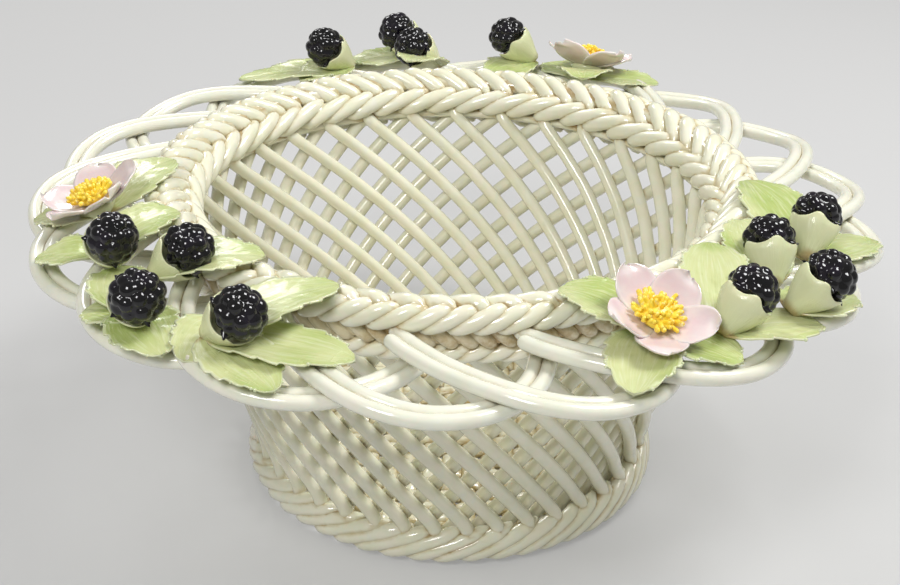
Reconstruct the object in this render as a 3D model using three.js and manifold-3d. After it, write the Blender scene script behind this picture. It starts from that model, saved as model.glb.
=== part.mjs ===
// A reticulated porcelain basket, in millimetres, with +Z up and the origin under the middle of its foot.
// A woven floor carries two layers of leaning rods. A plaited rim closes them at the top, double
// loops run round it as a scalloped border, and three sprays of brambles lie on the border.
import * as THREE from "three";
import { mergeVertices } from "three/addons/utils/BufferGeometryUtils.js";
import Module from "manifold-3d";

const wasm = await Module();
wasm.setup();

// Driving dimensions: the air between pieces that rest on each other, and the rods of the wall.
const touchGap = 0.3;
const weldDistance = 1e-4;
const rodDiameter = 2.8;
const rodLayerGap = 0.35;
const rodCount = 36;
const rodTwistDegrees = 60;
const rodStepCount = 5;
const rodSideCount = 5;
const rodFootShare = 0.3;
// The rods lie closer together at the front than at the back, as they were laid by hand.
const rodDriftDegrees = 8.3;
const halfSeamDegrees = 5;

// The foot ring and the close-woven floor inside it.
const footRingInset = 3.5;
const footRingWidth = 6.4;
const footRingHeight = 4.2;
const footRingChamfer = 0.8;
const floorThickness = 3.4;
const floorLift = 2.2;
const floorEdge = 1.5;
const floorStrandPitch = 4.85;
const floorWeaveDepth = 1.1;

// The wall: the inner layer's radius at the foot and at the rim, and the height of its rods.
const wallFootRadius = 43.5;
const wallRimRadius = 61.4;
const wallHeight = 65;
const slipBandHeight = 2.4;

// The plait round the foot.
const footPlaitThickness = 2.4;
const footPlaitHeight = 7.6;
const footPlaitLift = 0.6;
const footPlaitGrainCount = 54;

// The plaited rim: four rows of fat slanted grains.
const rimRowHeight = 6;
const innerRowLean = 2.9;
const middleRowWidth = 5.3;
const middleRowSeatWidth = 2.7;
const middleRowCrown = 0.8;
const outerRowThickness = 4;
const underRowHeight = 6;
const underRowThickness = 3.9;
const plaitGroove = 0.75;
const underRowSegmentCount = 48;
const innerRowGrainCount = 52;
const middleRowGrainCount = 76;
const outerRowGrainCount = 84;

// The scalloped border of double loops.
const borderRadius = 100;
const loopCount = 18;
const loopStartDegrees = 2;
const loopRodDiameter = 2.7;
const loopRodPitch = 2.75;
const loopGroove = 0.75;
const loopCrossingGap = 0.5;
const loopLift = 2.85;
const loopStepCount = 10;
// Each loop's way round the border: degrees from its start, how far out it reaches, how far it has dropped.
const loopOutShares = [
  [0, 0, 0],
  [3, 0.175, 0],
  [6.7, 0.39, 0],
  [10.3, 0.587, 0],
  [14, 0.775, 0.03],
  [18, 0.93, 0.2],
  [22, 1, 0.5],
];
const loopBackShares = [
  [26, 0.994, 0.8],
  [30.5, 0.92, 0.97],
  [34, 0.797, 1.03],
  [37.5, 0.584, 1.18],
  [40.3, 0.313, 1.45],
  [42.8, 0, 1.72],
];

// The brambles, their cups, leaves and flowers.
const berryRadius = 5.9;
const berryHeight = 8.4;
const berrySeatDepth = 1.4;
const cupDepth = 6.6;
const cupFootRadius = 1.9;
const cupWall = 0.7;
const cupSideCount = 7;
const berrySideCount = 9;
const cupFootLift = 1.5;
// Each cluster of a spray starts this far above its seat, and is let down in a few tries.
const settleStart = 3;
const settleReach = 6;
const settleTryCount = 9;
const berryTiltDegrees = 40;
const leafThickness = 1.3;
const leafWidth = 12.4;
const leafLift = 0.1;
const leafDroopShare = 0.5;
const leafRimShare = 0.25;
const leafFold = 0.35;
const flowerRadius = 11.6;
const flowerRise = 4.6;
const petalThickness = 1.2;
const petalCount = 5;
const flowerTiltDegrees = 22;
const flowerLift = 4.4;
const stamenRadius = 4.1;
const stamenHeight = 3.6;
const flowerFootRadius = 2.4;
const flowerFootDepth = 2.9;

const porcelain = { color: 0xe6e0c8, roughness: 0.2, metalness: 0 };
const paleLoops = { color: 0xdedfd2, roughness: 0.18, metalness: 0 };
const leafGreen = { color: 0xb7c58a, roughness: 0.25, metalness: 0 };
const berryBlack = { color: 0x08070c, roughness: 0.1, metalness: 0 };
const petalPink = { color: 0xdccbd0, roughness: 0.25, metalness: 0 };
const stamenYellow = { color: 0xe8b81e, roughness: 0.4, metalness: 0 };

const part = new THREE.Group();

function addPiece(name, geometry, look) {
  const mesh = new THREE.Mesh(geometry, new THREE.MeshStandardMaterial(look));
  mesh.name = name;
  part.add(mesh);
  return mesh;
}

function radians(degrees) {
  return THREE.MathUtils.degToRad(degrees);
}

// A point from its distance to the basket's axis, its direction in degrees and its height.
function polar(radius, degrees, height) {
  const turn = radians(degrees);
  return new THREE.Vector3(radius * Math.cos(turn), radius * Math.sin(turn), height);
}

function between(low, high, share) {
  return low + (high - low) * share;
}

// A closed geometry as a solid that can be joined to others.
function solidOf(geometry) {
  const bare = geometry.clone();
  bare.deleteAttribute("normal");
  bare.deleteAttribute("uv");
  const merged = mergeVertices(bare, weldDistance);
  const mesh = new wasm.Mesh({
    numProp: 3,
    vertProperties: merged.attributes.position.array,
    triVerts: new Uint32Array(merged.index.array),
  });
  return new wasm.Manifold(mesh);
}

function geometryOf(solid) {
  const mesh = solid.getMesh();
  const geometry = new THREE.BufferGeometry();
  geometry.setAttribute("position", new THREE.BufferAttribute(mesh.vertProperties, 3));
  geometry.setIndex(new THREE.BufferAttribute(mesh.triVerts, 1));
  const faceted = geometry.toNonIndexed();
  faceted.computeVertexNormals();
  return faceted;
}

function joined(geometries) {
  let solid = solidOf(geometries[0]);
  geometries.slice(1).forEach((geometry) => {
    solid = solid.add(solidOf(geometry));
  });
  return geometryOf(solid);
}

// A geometry from its corners and faces, turned inside out if its faces point inwards.
function facetedGeometry(corners, faces) {
  let volume = 0;
  faces.forEach(([a, b, c]) => {
    volume += corners[a].dot(corners[b].clone().cross(corners[c]));
  });
  const flat = [];
  faces.forEach(([a, b, c]) => {
    const order = volume < 0 ? [a, c, b] : [a, b, c];
    order.forEach((corner) => flat.push(...corners[corner].toArray()));
  });
  const geometry = new THREE.BufferGeometry();
  geometry.setAttribute("position", new THREE.Float32BufferAttribute(flat, 3));
  geometry.computeVertexNormals();
  return geometry;
}

// A plain ring turned from a closed outline of [radius, height] points about the basket's axis.
function turnedRing(outline, segments) {
  const points = outline.map(([radius, height]) => new THREE.Vector2(radius, height));
  points.push(points[0].clone());
  const geometry = new THREE.LatheGeometry(points, segments);
  geometry.rotateX(Math.PI / 2);
  return facingOut(geometry);
}

function facingOut(geometry) {
  const flat = geometry.index ? geometry.toNonIndexed() : geometry;
  const position = flat.attributes.position;
  const corners = [];
  for (let i = 0; i < position.count; i++) {
    corners.push(new THREE.Vector3().fromBufferAttribute(position, i));
  }
  const faces = [];
  for (let i = 0; i < position.count; i += 3) {
    faces.push([i, i + 1, i + 2]);
  }
  return facetedGeometry(corners, faces);
}

// A ring of slanted grains. Each outline point is its radius, its height, how deep its groove is, and how
// far round the grain slides there.
function plaitedRing(outline, grains, hand) {
  const columns = grains * 2;
  const middleRadius = outline.reduce((sum, point) => sum + point[0], 0) / outline.length;
  const middleHeight = outline.reduce((sum, point) => sum + point[1], 0) / outline.length;
  const corners = [];
  for (let column = 0; column < columns; column++) {
    outline.forEach(([radius, height, groove, slide]) => {
      const inwards = new THREE.Vector2(middleRadius - radius, middleHeight - height).normalize();
      const depth = column % 2 ? plaitGroove * groove : 0;
      const turn = (column / 2 + hand * slide) * (360 / grains);
      corners.push(polar(radius + inwards.x * depth, turn, height + inwards.y * depth));
    });
  }
  const faces = [];
  const size = outline.length;
  for (let column = 0; column < columns; column++) {
    const next = (column + 1) % columns;
    for (let point = 0; point < size; point++) {
      const after = (point + 1) % size;
      const corner = column * size + point;
      const above = column * size + after;
      const beside = next * size + point;
      const across = next * size + after;
      faces.push([corner, beside, across]);
      faces.push([corner, across, above]);
    }
  }
  return facetedGeometry(corners, faces);
}

// The floor: a flat foot ring to stand on, and the close-woven plate that it carries.
const footRingInnerRadius = wallFootRadius - footRingInset;
const footRingOuterRadius = footRingInnerRadius + footRingWidth;
const floorTop = floorLift + floorThickness;
const floorRadius = footRingInnerRadius + floorEdge;

// The ring that the basket stands on, with a lip round the floor.
function footRing() {
  return turnedRing(
    [
      [footRingInnerRadius, floorLift],
      [footRingInnerRadius + footRingChamfer, 0],
      [footRingOuterRadius, 0],
      [footRingOuterRadius, footRingHeight],
      [floorRadius, footRingHeight],
      [floorRadius, floorTop],
      [footRingInnerRadius, floorTop],
    ],
    rodCount,
  );
}

// The weave as a square mat of low hills: a hill where two strands cross, and a hollow at each corner
// between four crossings. Its border is dropped straight down, and a fan of faces closes it underneath.
function weaveMat() {
  const reach = Math.ceil(floorRadius / floorStrandPitch);
  const side = 2 * reach + 1;
  const row = side + 1;
  const corners = [];
  for (let i = 0; i < row * row; i++) {
    const x = ((i % row) - side / 2) * floorStrandPitch;
    const y = (Math.floor(i / row) - side / 2) * floorStrandPitch;
    corners.push(new THREE.Vector3(x, y, floorTop - floorWeaveDepth));
  }
  const faces = [];
  for (let i = 0; i < side * side; i++) {
    const first = Math.floor(i / side) * row + (i % side);
    const opposite = first + row + 1;
    const hill = corners.length;
    corners.push(corners[first].clone().add(corners[opposite]).divideScalar(2).setZ(floorTop));
    faces.push([first, first + 1, hill]);
    faces.push([first + 1, opposite, hill]);
    faces.push([opposite, opposite - 1, hill]);
    faces.push([opposite - 1, first, hill]);
  }
  const border = [];
  for (let i = 0; i < side; i++) {
    border[i] = i;
    border[i + side] = i * row + side;
    border[i + side * 2] = row * row - 1 - i;
    border[i + side * 3] = (side - i) * row;
  }
  const ground = corners.length;
  const middle = ground + border.length;
  border.forEach((corner, i) => {
    const next = (i + 1) % border.length;
    corners.push(corners[corner].clone().setZ(0));
    faces.push([corner, ground + i, ground + next]);
    faces.push([corner, ground + next, border[next]]);
    faces.push([ground + next, ground + i, middle]);
  });
  corners.push(new THREE.Vector3());
  return facetedGeometry(corners, faces);
}

function wovenFloor() {
  const edge = footRingInnerRadius + floorEdge / 2;
  const disc = turnedSolid(
    [
      [0, floorLift],
      [edge, floorLift],
      [edge, floorTop + floorEdge],
      [0, floorTop + floorEdge],
    ],
    rodCount,
  );
  const mat = solidOf(weaveMat()).intersect(solidOf(disc));
  return geometryOf(mat.add(solidOf(footRing())));
}
addPiece("woven_floor", wovenFloor(), porcelain);

// The wall stands on the foot ring, its outer layer one rod and a small gap outside the inner one.
const wallBottom = footRingHeight + touchGap;
const wallTop = wallBottom + wallHeight;
const layerPitch = rodDiameter + rodLayerGap;

function wallRadius(height, layer) {
  const share = (height - wallBottom) / wallHeight;
  return between(wallFootRadius, wallRimRadius, share) + layer * layerPitch;
}

// Where a rod of an even spacing ends up with the hand-laid drift.
function drifted(degrees) {
  return degrees - rodDriftDegrees * Math.cos(radians(degrees));
}

function wallRod(start, twist, layer) {
  const low = wallBottom + rodDiameter * rodFootShare;
  const high = wallTop - slipBandHeight / 2;
  const points = [];
  for (let step = 0; step <= rodStepCount; step++) {
    const height = between(low, high, step / rodStepCount);
    const turn = drifted(start + between(-twist, twist, step / rodStepCount) / 2);
    points.push(polar(wallRadius(height, layer), turn, height));
  }
  return roundStrand(points, rodDiameter / 2, rodSideCount, rodStepCount);
}

function roundStrand(points, radius, sides, steps) {
  const section = new THREE.Shape();
  for (let side = 0; side < sides; side++) {
    const turn = (side * Math.PI * 2) / sides;
    const corner = [radius * Math.cos(turn), radius * Math.sin(turn)];
    if (side) {
      section.lineTo(...corner);
    } else {
      section.moveTo(...corner);
    }
  }
  const extrudePath = new THREE.CatmullRomCurve3(points);
  return new THREE.ExtrudeGeometry(section, { steps, extrudePath });
}

// The band of slip in which the upper ends of a layer's rods are bedded, under the rim.
function slipBand(layer) {
  const top = wallTop;
  const bottom = wallTop - slipBandHeight;
  const half = rodDiameter / 2;
  return turnedRing(
    [
      [wallRadius(bottom, layer) - half, bottom],
      [wallRadius(bottom, layer) + half, bottom],
      [wallRadius(top, layer) + half, top],
      [wallRadius(top, layer) - half, top],
    ],
    rodCount,
  );
}

function rodLayer(layer, hand) {
  const pieces = [slipBand(layer)];
  for (let i = 0; i < rodCount; i++) {
    pieces.push(wallRod((i * 360) / rodCount, hand * rodTwistDegrees, layer));
  }
  return joined(pieces);
}

// The inner layer is laid in two halves, at the back (side 1) and at the front (side -1). Their bands of
// slip meet between two rods at the right and at the left.
function halfRodLayer(layer, hand, side) {
  const seamTurn = Math.sin(radians(drifted(halfSeamDegrees)));
  const seam = wallRadius(wallTop, layer) * seamTurn;
  let solid = solidOf(slipBand(layer)).trimByPlane([0, side, 0], side * seam + touchGap / 2);
  for (let i = 0; i < rodCount; i++) {
    const start = (i * 360) / rodCount;
    const headTurn = Math.sin(radians(drifted(start + (hand * rodTwistDegrees) / 2)));
    const atTheBack = headTurn > seamTurn;
    if (atTheBack === side > 0) {
      solid = solid.add(solidOf(wallRod(start, hand * rodTwistDegrees, layer)));
    }
  }
  return geometryOf(solid);
}
addPiece("inner_rods_back", halfRodLayer(0, 1, 1), porcelain);
addPiece("inner_rods_front", halfRodLayer(0, 1, -1), porcelain);
addPiece("outer_rods", rodLayer(1, -1), porcelain);

// The foot plait wraps the outer rods where they stand on the foot ring.
const wallOutside = rodDiameter / 2 + touchGap;
const footPlaitTop = footPlaitLift + footPlaitHeight;
const footPlaitFootRadius = wallRadius(wallBottom, 1) + wallOutside;
const footPlaitTopRadius = wallRadius(footPlaitTop, 1) + wallOutside;

function footPlait() {
  const outline = [
    [footPlaitFootRadius, footPlaitLift, 0, 0.2],
    [footPlaitFootRadius + footPlaitThickness, footPlaitLift + footPlaitHeight * 0.15, 1, 0],
    [footPlaitTopRadius, footPlaitTop, 0, 1],
  ];
  return plaitedRing(outline, footPlaitGrainCount, 1);
}
addPiece("foot_plait", footPlait(), porcelain);

// The rim's rows stand on the slip bands, side by side from the opening outwards.
const rimBottom = wallTop + touchGap;
const rimTop = rimBottom + rimRowHeight;
const innerRowFoot = wallRadius(wallTop, 0) - rodDiameter / 2 + touchGap;
const innerRowHead = innerRowFoot + innerRowLean;
const middleRowHead = innerRowHead + touchGap * 1.4;
const middleRowSeat = middleRowHead + touchGap * 4;
const innerRowSeat = middleRowSeat - touchGap * 1.4;
const middleRowEdge = middleRowHead + middleRowWidth;
const middleRowSeatEdge = middleRowSeat + middleRowSeatWidth;
const outerRowHead = middleRowEdge + touchGap * 1.2;
const outerRowSeat = middleRowSeatEdge + touchGap * 1.2;
const outerRowRadius = outerRowSeat + outerRowThickness;

function rimInnerRow() {
  const outline = [
    [innerRowSeat, rimBottom, 0, 0.5],
    [innerRowFoot, rimBottom, 1, 0],
    [innerRowHead, rimTop - touchGap, 1, 1],
  ];
  return plaitedRing(outline, innerRowGrainCount, -1);
}
addPiece("rim_inner_row", rimInnerRow(), porcelain);

function rimMiddleRow() {
  const outline = [
    [(middleRowSeat + middleRowSeatEdge) / 2, rimBottom, 0, 0.5],
    [middleRowHead, rimTop, 0.3, 0],
    [middleRowHead + middleRowWidth * 0.5, rimTop + middleRowCrown, 1, 0.5],
    [middleRowEdge, rimTop, 0.5, 1],
  ];
  return plaitedRing(outline, middleRowGrainCount, 1);
}
addPiece("rim_middle_row", rimMiddleRow(), porcelain);

function rimOuterRow() {
  const outline = [
    [outerRowSeat, rimBottom, 0, 0.5],
    [outerRowHead, rimTop - touchGap, 0.6, 0],
    [outerRowRadius, rimBottom + rimRowHeight * 0.35, 1, 1],
  ];
  return plaitedRing(outline, outerRowGrainCount, -1);
}
addPiece("rim_outer_row", rimOuterRow(), porcelain);

// The lowest row hangs under the rim against the outer rods.
const underRowTop = rimBottom - touchGap * 1.3;
const underRowBottom = underRowTop - underRowHeight;
const underRowInside = wallRadius(wallTop, 1) + rodDiameter / 2 + touchGap;
const underRowFoot = wallRadius(underRowBottom, 1) + rodDiameter / 2 + touchGap * 2;
const underRowRadius = underRowInside + underRowThickness;

function rimUnderRow() {
  const outline = [
    [underRowInside, underRowTop],
    [underRowRadius, underRowTop],
    [between(underRowFoot, underRowRadius, 0.75), between(underRowBottom, underRowTop, 0.35)],
    [underRowFoot, underRowBottom],
  ];
  return turnedRing(outline, underRowSegmentCount);
}
addPiece("rim_under_row", rimUnderRow(), porcelain);

// One double loop: two rods side by side, from the rim's outer row round to the row below it.
const loopHalfWidth = (loopRodPitch + loopRodDiameter) / 2;
const loopStartRadius = outerRowRadius + touchGap + loopHalfWidth * 0.6;
const loopEndRadius = underRowRadius + touchGap + loopHalfWidth * 0.45;
const loopReachRadius = borderRadius - loopHalfWidth;
const loopStartHeight = rimBottom + loopLift;
const loopDrop = loopRodDiameter + loopCrossingGap;
const borderTop = loopStartHeight + loopRodDiameter / 2;

function loopSection() {
  const high = loopRodDiameter / 2;
  const wide = loopRodPitch / 2;
  const section = new THREE.Shape();
  section.moveTo(0, loopHalfWidth);
  section.lineTo(high, wide);
  section.lineTo(high - loopGroove, 0);
  section.lineTo(high, -wide);
  section.lineTo(0, -loopHalfWidth);
  section.lineTo(-high, -wide);
  section.lineTo(loopGroove - high, 0);
  section.lineTo(-high, wide);
  return section;
}

function doubleLoop() {
  const route = [];
  loopOutShares.forEach(([degrees, reach, drop]) => {
    const radius = between(loopStartRadius, loopReachRadius, reach);
    route.push(polar(radius, degrees, loopStartHeight - loopDrop * drop));
  });
  loopBackShares.forEach(([degrees, reach, drop]) => {
    const radius = between(loopEndRadius, loopReachRadius, reach);
    route.push(polar(radius, degrees, loopStartHeight - loopDrop * drop));
  });
  const extrudePath = new THREE.CatmullRomCurve3(route);
  return new THREE.ExtrudeGeometry(loopSection(), { steps: loopStepCount, extrudePath });
}

for (let i = 0; i < loopCount; i++) {
  const loop = addPiece("loop_" + String(i + 1).padStart(2, "0"), doubleLoop(), paleLoops);
  loop.rotation.z = radians(loopStartDegrees + (i * 360) / loopCount);
}

// A bramble and the cup that it sits in share one frame: the origin in the middle of the cup's mouth.
function bramble() {
  const outline = [
    [0, -berrySeatDepth],
    [berryRadius * 0.72, -berrySeatDepth * 0.3],
    [berryRadius, berryHeight * 0.25],
    [berryRadius * 0.86, berryHeight * 0.65],
    [berryRadius * 0.45, berryHeight * 0.93],
    [0, berryHeight],
  ];
  return turnedSolid(outline, berrySideCount);
}

function brambleCup() {
  const mouth = berryRadius * 0.8 + touchGap;
  const outline = [
    [0, -cupDepth],
    [cupFootRadius, -cupDepth],
    [mouth * 0.72 + cupWall, -cupDepth * 0.4],
    [mouth + cupWall, 0],
    [mouth, -touchGap * 2],
    [0, -berrySeatDepth - touchGap * 1.2],
  ];
  return turnedSolid(outline, cupSideCount);
}

function turnedSolid(outline, segments) {
  const points = outline.map(([radius, height]) => new THREE.Vector2(radius, height));
  const geometry = new THREE.LatheGeometry(points, segments);
  geometry.rotateX(Math.PI / 2);
  return facingOut(geometry);
}

// A leaf: a folded blade from its stalk to its tip, thick along its rib and sharp at its edges.
const leafStationShares = [0, 0.22, 0.5, 0.78];
const leafWidthShares = [0.3, 0.85, 1, 0.62];

function leafBlade(stalk, tip, lift) {
  const middle = stalk.clone().add(tip).multiplyScalar(0.5);
  middle.z = Math.max(stalk.z, tip.z) + lift;
  const rib = new THREE.QuadraticBezierCurve3(stalk, middle, tip);
  const along = tip.clone().sub(stalk).setZ(0).normalize();
  const across = new THREE.Vector3(-along.y, along.x, 0);
  const up = new THREE.Vector3(0, 0, 1);
  const corners = [];
  leafStationShares.forEach((share, i) => {
    const place = rib.getPoint(share);
    const half = (leafWidth * leafWidthShares[i]) / 2;
    const thick = (leafThickness / 2) * (1 - share * 0.5);
    const edge = place.clone().addScaledVector(up, leafFold * leafWidthShares[i]);
    corners.push(edge.clone().addScaledVector(across, half));
    corners.push(place.clone().addScaledVector(up, thick));
    corners.push(edge.clone().addScaledVector(across, -half));
    corners.push(place.clone().addScaledVector(up, -thick));
  });
  corners.push(tip.clone());
  const last = corners.length - 1;
  const faces = [
    [0, 1, 2],
    [0, 2, 3],
  ];
  for (let station = 0; station < leafStationShares.length; station++) {
    for (let side = 0; side < 4; side++) {
      const a = station * 4 + side;
      const b = station * 4 + ((side + 1) % 4);
      if (station === leafStationShares.length - 1) {
        faces.push([a, last, b]);
      } else {
        faces.push([a, a + 4, b + 4]);
        faces.push([a, b + 4, b]);
      }
    }
  }
  return facetedGeometry(corners, faces);
}

// A flower: a dish of five cupped petals, and the boss of stamens in it.
function corolla() {
  const angles = petalCount * 4;
  const petalShares = [0.66, 0.95, 1, 0.95];
  const rings = [
    [0.5, 0.12],
    [1, 1],
  ];
  const corners = [new THREE.Vector3(0, 0, 0), new THREE.Vector3(0, 0, -petalThickness)];
  [0, -petalThickness].forEach((shift) => {
    rings.forEach(([reach, rise]) => {
      for (let i = 0; i < angles; i++) {
        const lobe = reach === 1 ? petalShares[i % 4] : 1;
        const turn = (i * 360) / angles;
        const height = flowerRise * rise * lobe + shift * (reach === 1 ? 0.6 : 1);
        corners.push(polar(flowerRadius * reach * lobe, turn, height));
      }
    });
  });
  const faces = [];
  for (let i = 0; i < angles; i++) {
    const next = (i + 1) % angles;
    const topInner = 2;
    const topOuter = 2 + angles;
    const lowInner = 2 + angles * 2;
    const lowOuter = 2 + angles * 3;
    faces.push([0, topInner + i, topInner + next]);
    faces.push([topInner + i, topOuter + i, topOuter + next]);
    faces.push([topInner + i, topOuter + next, topInner + next]);
    faces.push([topOuter + i, lowOuter + i, lowOuter + next]);
    faces.push([topOuter + i, lowOuter + next, topOuter + next]);
    faces.push([lowInner + i, lowOuter + next, lowOuter + i]);
    faces.push([lowInner + i, lowInner + next, lowOuter + next]);
    faces.push([1, lowInner + next, lowInner + i]);
  }
  return facetedGeometry(corners, faces);
}

function stamenBoss() {
  const outline = [
    [0, touchGap],
    [stamenRadius * 0.9, touchGap * 2.5],
    [stamenRadius, stamenHeight * 0.6],
    [stamenRadius * 0.7, stamenHeight],
    [0, stamenHeight * 0.8],
  ];
  return turnedSolid(outline, berrySideCount);
}

// The green foot under a flower, from which its leaves spring.
function flowerFoot() {
  const top = -petalThickness - touchGap;
  const outline = [
    [0, top - flowerFootDepth],
    [flowerFootRadius, top - flowerFootDepth],
    [flowerFootRadius, top],
    [0, top],
  ];
  return turnedSolid(outline, cupSideCount);
}

// A place on the border: a share of the way from the rim to the border's edge, and a direction.
function onBorder(share, degrees, height) {
  return polar(between(outerRowRadius, borderRadius, share), degrees, height);
}

// The turn that leans a piece by some degrees towards a direction round the basket.
function leaning(tilt, towards) {
  const axis = new THREE.Vector3(-Math.sin(radians(towards)), Math.cos(radians(towards)), 0);
  return new THREE.Quaternion().setFromAxisAngle(axis, radians(tilt));
}

const cupFootHeight = borderTop + cupFootLift;
const cupMouthHeight = cupFootHeight + cupDepth * Math.cos(radians(berryTiltDegrees));
const leafOverRim = rimTop + middleRowCrown + leafThickness * 0.6;
const leafSeat = touchGap + leafThickness * 0.4;
const loopReachTop = borderTop - loopDrop * loopOutShares.at(-1)[2];

// What the sprays lie on: the rows of the rim and the loops.
function seatOfSprays() {
  const rows = part.children.filter((piece) => /^(rim|loop)_/.test(piece.name));
  const solids = rows.map((piece) => {
    piece.updateMatrixWorld();
    return solidOf(piece.geometry.clone().applyMatrix4(piece.matrixWorld));
  });
  return wasm.Manifold.compose(solids);
}
const seat = seatOfSprays();

// How far down a cluster goes until it all but touches its seat.
function settledDrop(geometry) {
  const cluster = solidOf(geometry);
  let drop = -settleStart;
  for (let i = 0; i < settleTryCount; i++) {
    drop += seat.minGap(cluster.translate([0, 0, -drop]), settleReach) - touchGap;
  }
  return drop;
}

// One bramble in its cup, with the leaves that spring from the cup's foot.
function addBramble(spray, number, place) {
  const mouth = polar(borderRadius - place.inShare * berryRadius, place.round, cupMouthHeight);
  const turn = leaning(berryTiltDegrees, place.round + 90 + place.swing);
  const cup = brambleCup();
  cup.applyQuaternion(turn);
  cup.translate(mouth.x, mouth.y, mouth.z);
  const foot = new THREE.Vector3(0, 0, -cupDepth * 0.95).applyQuaternion(turn).add(mouth);
  const pieces = [cup];
  place.leaves.forEach((leaf) => pieces.push(leafFrom(foot, leaf)));
  const cluster = joined(pieces);
  const drop = settledDrop(cluster);
  const berry = addPiece(spray + "_bramble_" + number, bramble(), berryBlack);
  berry.position.copy(mouth);
  berry.position.z -= drop;
  berry.quaternion.copy(turn);
  addPiece(spray + "_cup_and_leaves_" + number, cluster, leafGreen).position.z = -drop;
}

function leafFrom(stalk, [out, round]) {
  const droop = THREE.MathUtils.clamp((out - leafDroopShare) / (1 - leafDroopShare), 0, 1);
  const onLoops = between(borderTop, loopReachTop, droop) + leafSeat;
  const tip = onBorder(out, round, out < leafRimShare ? leafOverRim : onLoops);
  return leafBlade(stalk, tip, leafLift);
}

// One flower with its stamens, and the leaves that spread from its green foot.
function addFlower(spray, place) {
  const height = borderTop + flowerLift + petalThickness;
  const centre = polar(borderRadius - place.inShare * flowerRadius, place.round, height);
  const turn = leaning(flowerTiltDegrees, place.round);
  const foot = flowerFoot();
  foot.applyQuaternion(turn);
  foot.translate(centre.x, centre.y, centre.z);
  const stalk = new THREE.Vector3(0, 0, -petalThickness - flowerFootDepth * 0.95).applyQuaternion(turn);
  stalk.add(centre);
  const pieces = [foot];
  place.leaves.forEach((leaf) => pieces.push(leafFrom(stalk, leaf)));
  const cluster = joined(pieces);
  const drop = settledDrop(cluster);
  const bloom = [
    addPiece(spray + "_flower", corolla(), petalPink),
    addPiece(spray + "_stamens", stamenBoss(), stamenYellow),
  ];
  bloom.forEach((piece) => {
    piece.position.copy(centre);
    piece.position.z -= drop;
    piece.quaternion.copy(turn);
  });
  addPiece(spray + "_flower_leaves", cluster, leafGreen).position.z = -drop;
}

// The three sprays. A bramble or flower lies some of its own radii in from the border's edge, in a
// direction in degrees. A leaf has its tip's share of the way out and its direction, and a bramble's
// swing turns its lean outwards or inwards from the way round the border.
const sprayShares = {
  left: {
    flower: { inShare: 1.41, round: 196, leaves: [[-0.05, 178], [0.9, 193]] },
    brambles: [
      { inShare: 2.38, round: 214, swing: 0, leaves: [[0.94, 205], [-0.14, 203]] },
      { inShare: 3.81, round: 224, swing: 35, leaves: [[-0.42, 228]] },
      { inShare: 0.86, round: 230, swing: -20, leaves: [[0.9, 221]] },
      { inShare: 1.72, round: 242.5, swing: 0, leaves: [[0.91, 239], [0.95, 251], [0.5, 258], [-0.3, 248]] },
    ],
  },
  right: {
    flower: { inShare: 1.41, round: 298, leaves: [[-0.5, 291], [0.93, 290], [0.9, 305]] },
    brambles: [
      { inShare: 1.81, round: 309.5, swing: 0, leaves: [[0.93, 319], [-0.17, 323]] },
      { inShare: 3.34, round: 325.5, swing: 35, leaves: [[-0.25, 331]] },
      { inShare: 0.86, round: 320.5, swing: -35, leaves: [[0.9, 329]] },
      { inShare: 2.62, round: 337.5, swing: 0, leaves: [[0.9, 346], [-0.15, 2]] },
    ],
  },
  back: {
    flower: { inShare: 0.97, round: 65, leaves: [[0.9, 74], [0.85, 53], [-0.1, 60]] },
    brambles: [
      { inShare: 1.33, round: 79.5, swing: 0, leaves: [[0.3, 84]] },
      { inShare: 2.86, round: 97.5, swing: 20, leaves: [[0.05, 101]] },
      { inShare: 0.86, round: 99.5, swing: -10, leaves: [[0.93, 93], [0.92, 109]] },
      { inShare: 2.38, round: 114.5, swing: 0, leaves: [[0.4, 122], [0.85, 130]] },
    ],
  },
};

Object.entries(sprayShares).forEach(([side, spray]) => {
  addFlower(side, spray.flower);
  spray.brambles.forEach((place, i) => addBramble(side, i + 1, place));
});

export default part;
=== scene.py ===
# %% [markdown]
# A reticulated porcelain basket, dressed for its portrait. The real one is woven by hand from rods of
# soft porcelain paste: two layers of leaning rods make the wall, plaits bind the foot and the rim, double
# loops make the scalloped border, and sprays of brambles are stuck on with slip before one glaze covers
# everything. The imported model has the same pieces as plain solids. Each of them gets a finer stand-in
# here, in the same place, so that the fine one could be swapped back for the plain one at any time.

import math

import bpy
import numpy as np
from mathutils import Matrix, Vector


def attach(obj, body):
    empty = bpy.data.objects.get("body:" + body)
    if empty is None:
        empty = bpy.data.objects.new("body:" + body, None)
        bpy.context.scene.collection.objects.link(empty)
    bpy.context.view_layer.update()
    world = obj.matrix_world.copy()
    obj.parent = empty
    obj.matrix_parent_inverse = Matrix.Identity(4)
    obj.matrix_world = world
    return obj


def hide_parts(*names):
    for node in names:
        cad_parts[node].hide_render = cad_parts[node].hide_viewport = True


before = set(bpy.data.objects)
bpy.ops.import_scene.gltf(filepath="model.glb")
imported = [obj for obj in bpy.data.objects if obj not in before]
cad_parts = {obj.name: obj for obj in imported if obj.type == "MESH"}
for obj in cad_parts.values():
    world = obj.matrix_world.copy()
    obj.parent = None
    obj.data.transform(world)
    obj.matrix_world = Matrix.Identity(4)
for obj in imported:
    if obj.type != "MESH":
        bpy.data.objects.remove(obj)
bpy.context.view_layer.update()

# %% [markdown]
# The scene counts in metres, and a potter thinks in millimetres. Every shape below is worked out in
# millimetres and shrunk once, when its mesh is made. The basket is round, so most places are easiest to
# give as a distance from its axis, a direction in degrees and a height. One seeded source of chance gives
# every small irregularity, so the basket comes out the same each time.

# %% Places round the basket
MM = 0.001
chance = np.random.default_rng(7)


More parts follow.
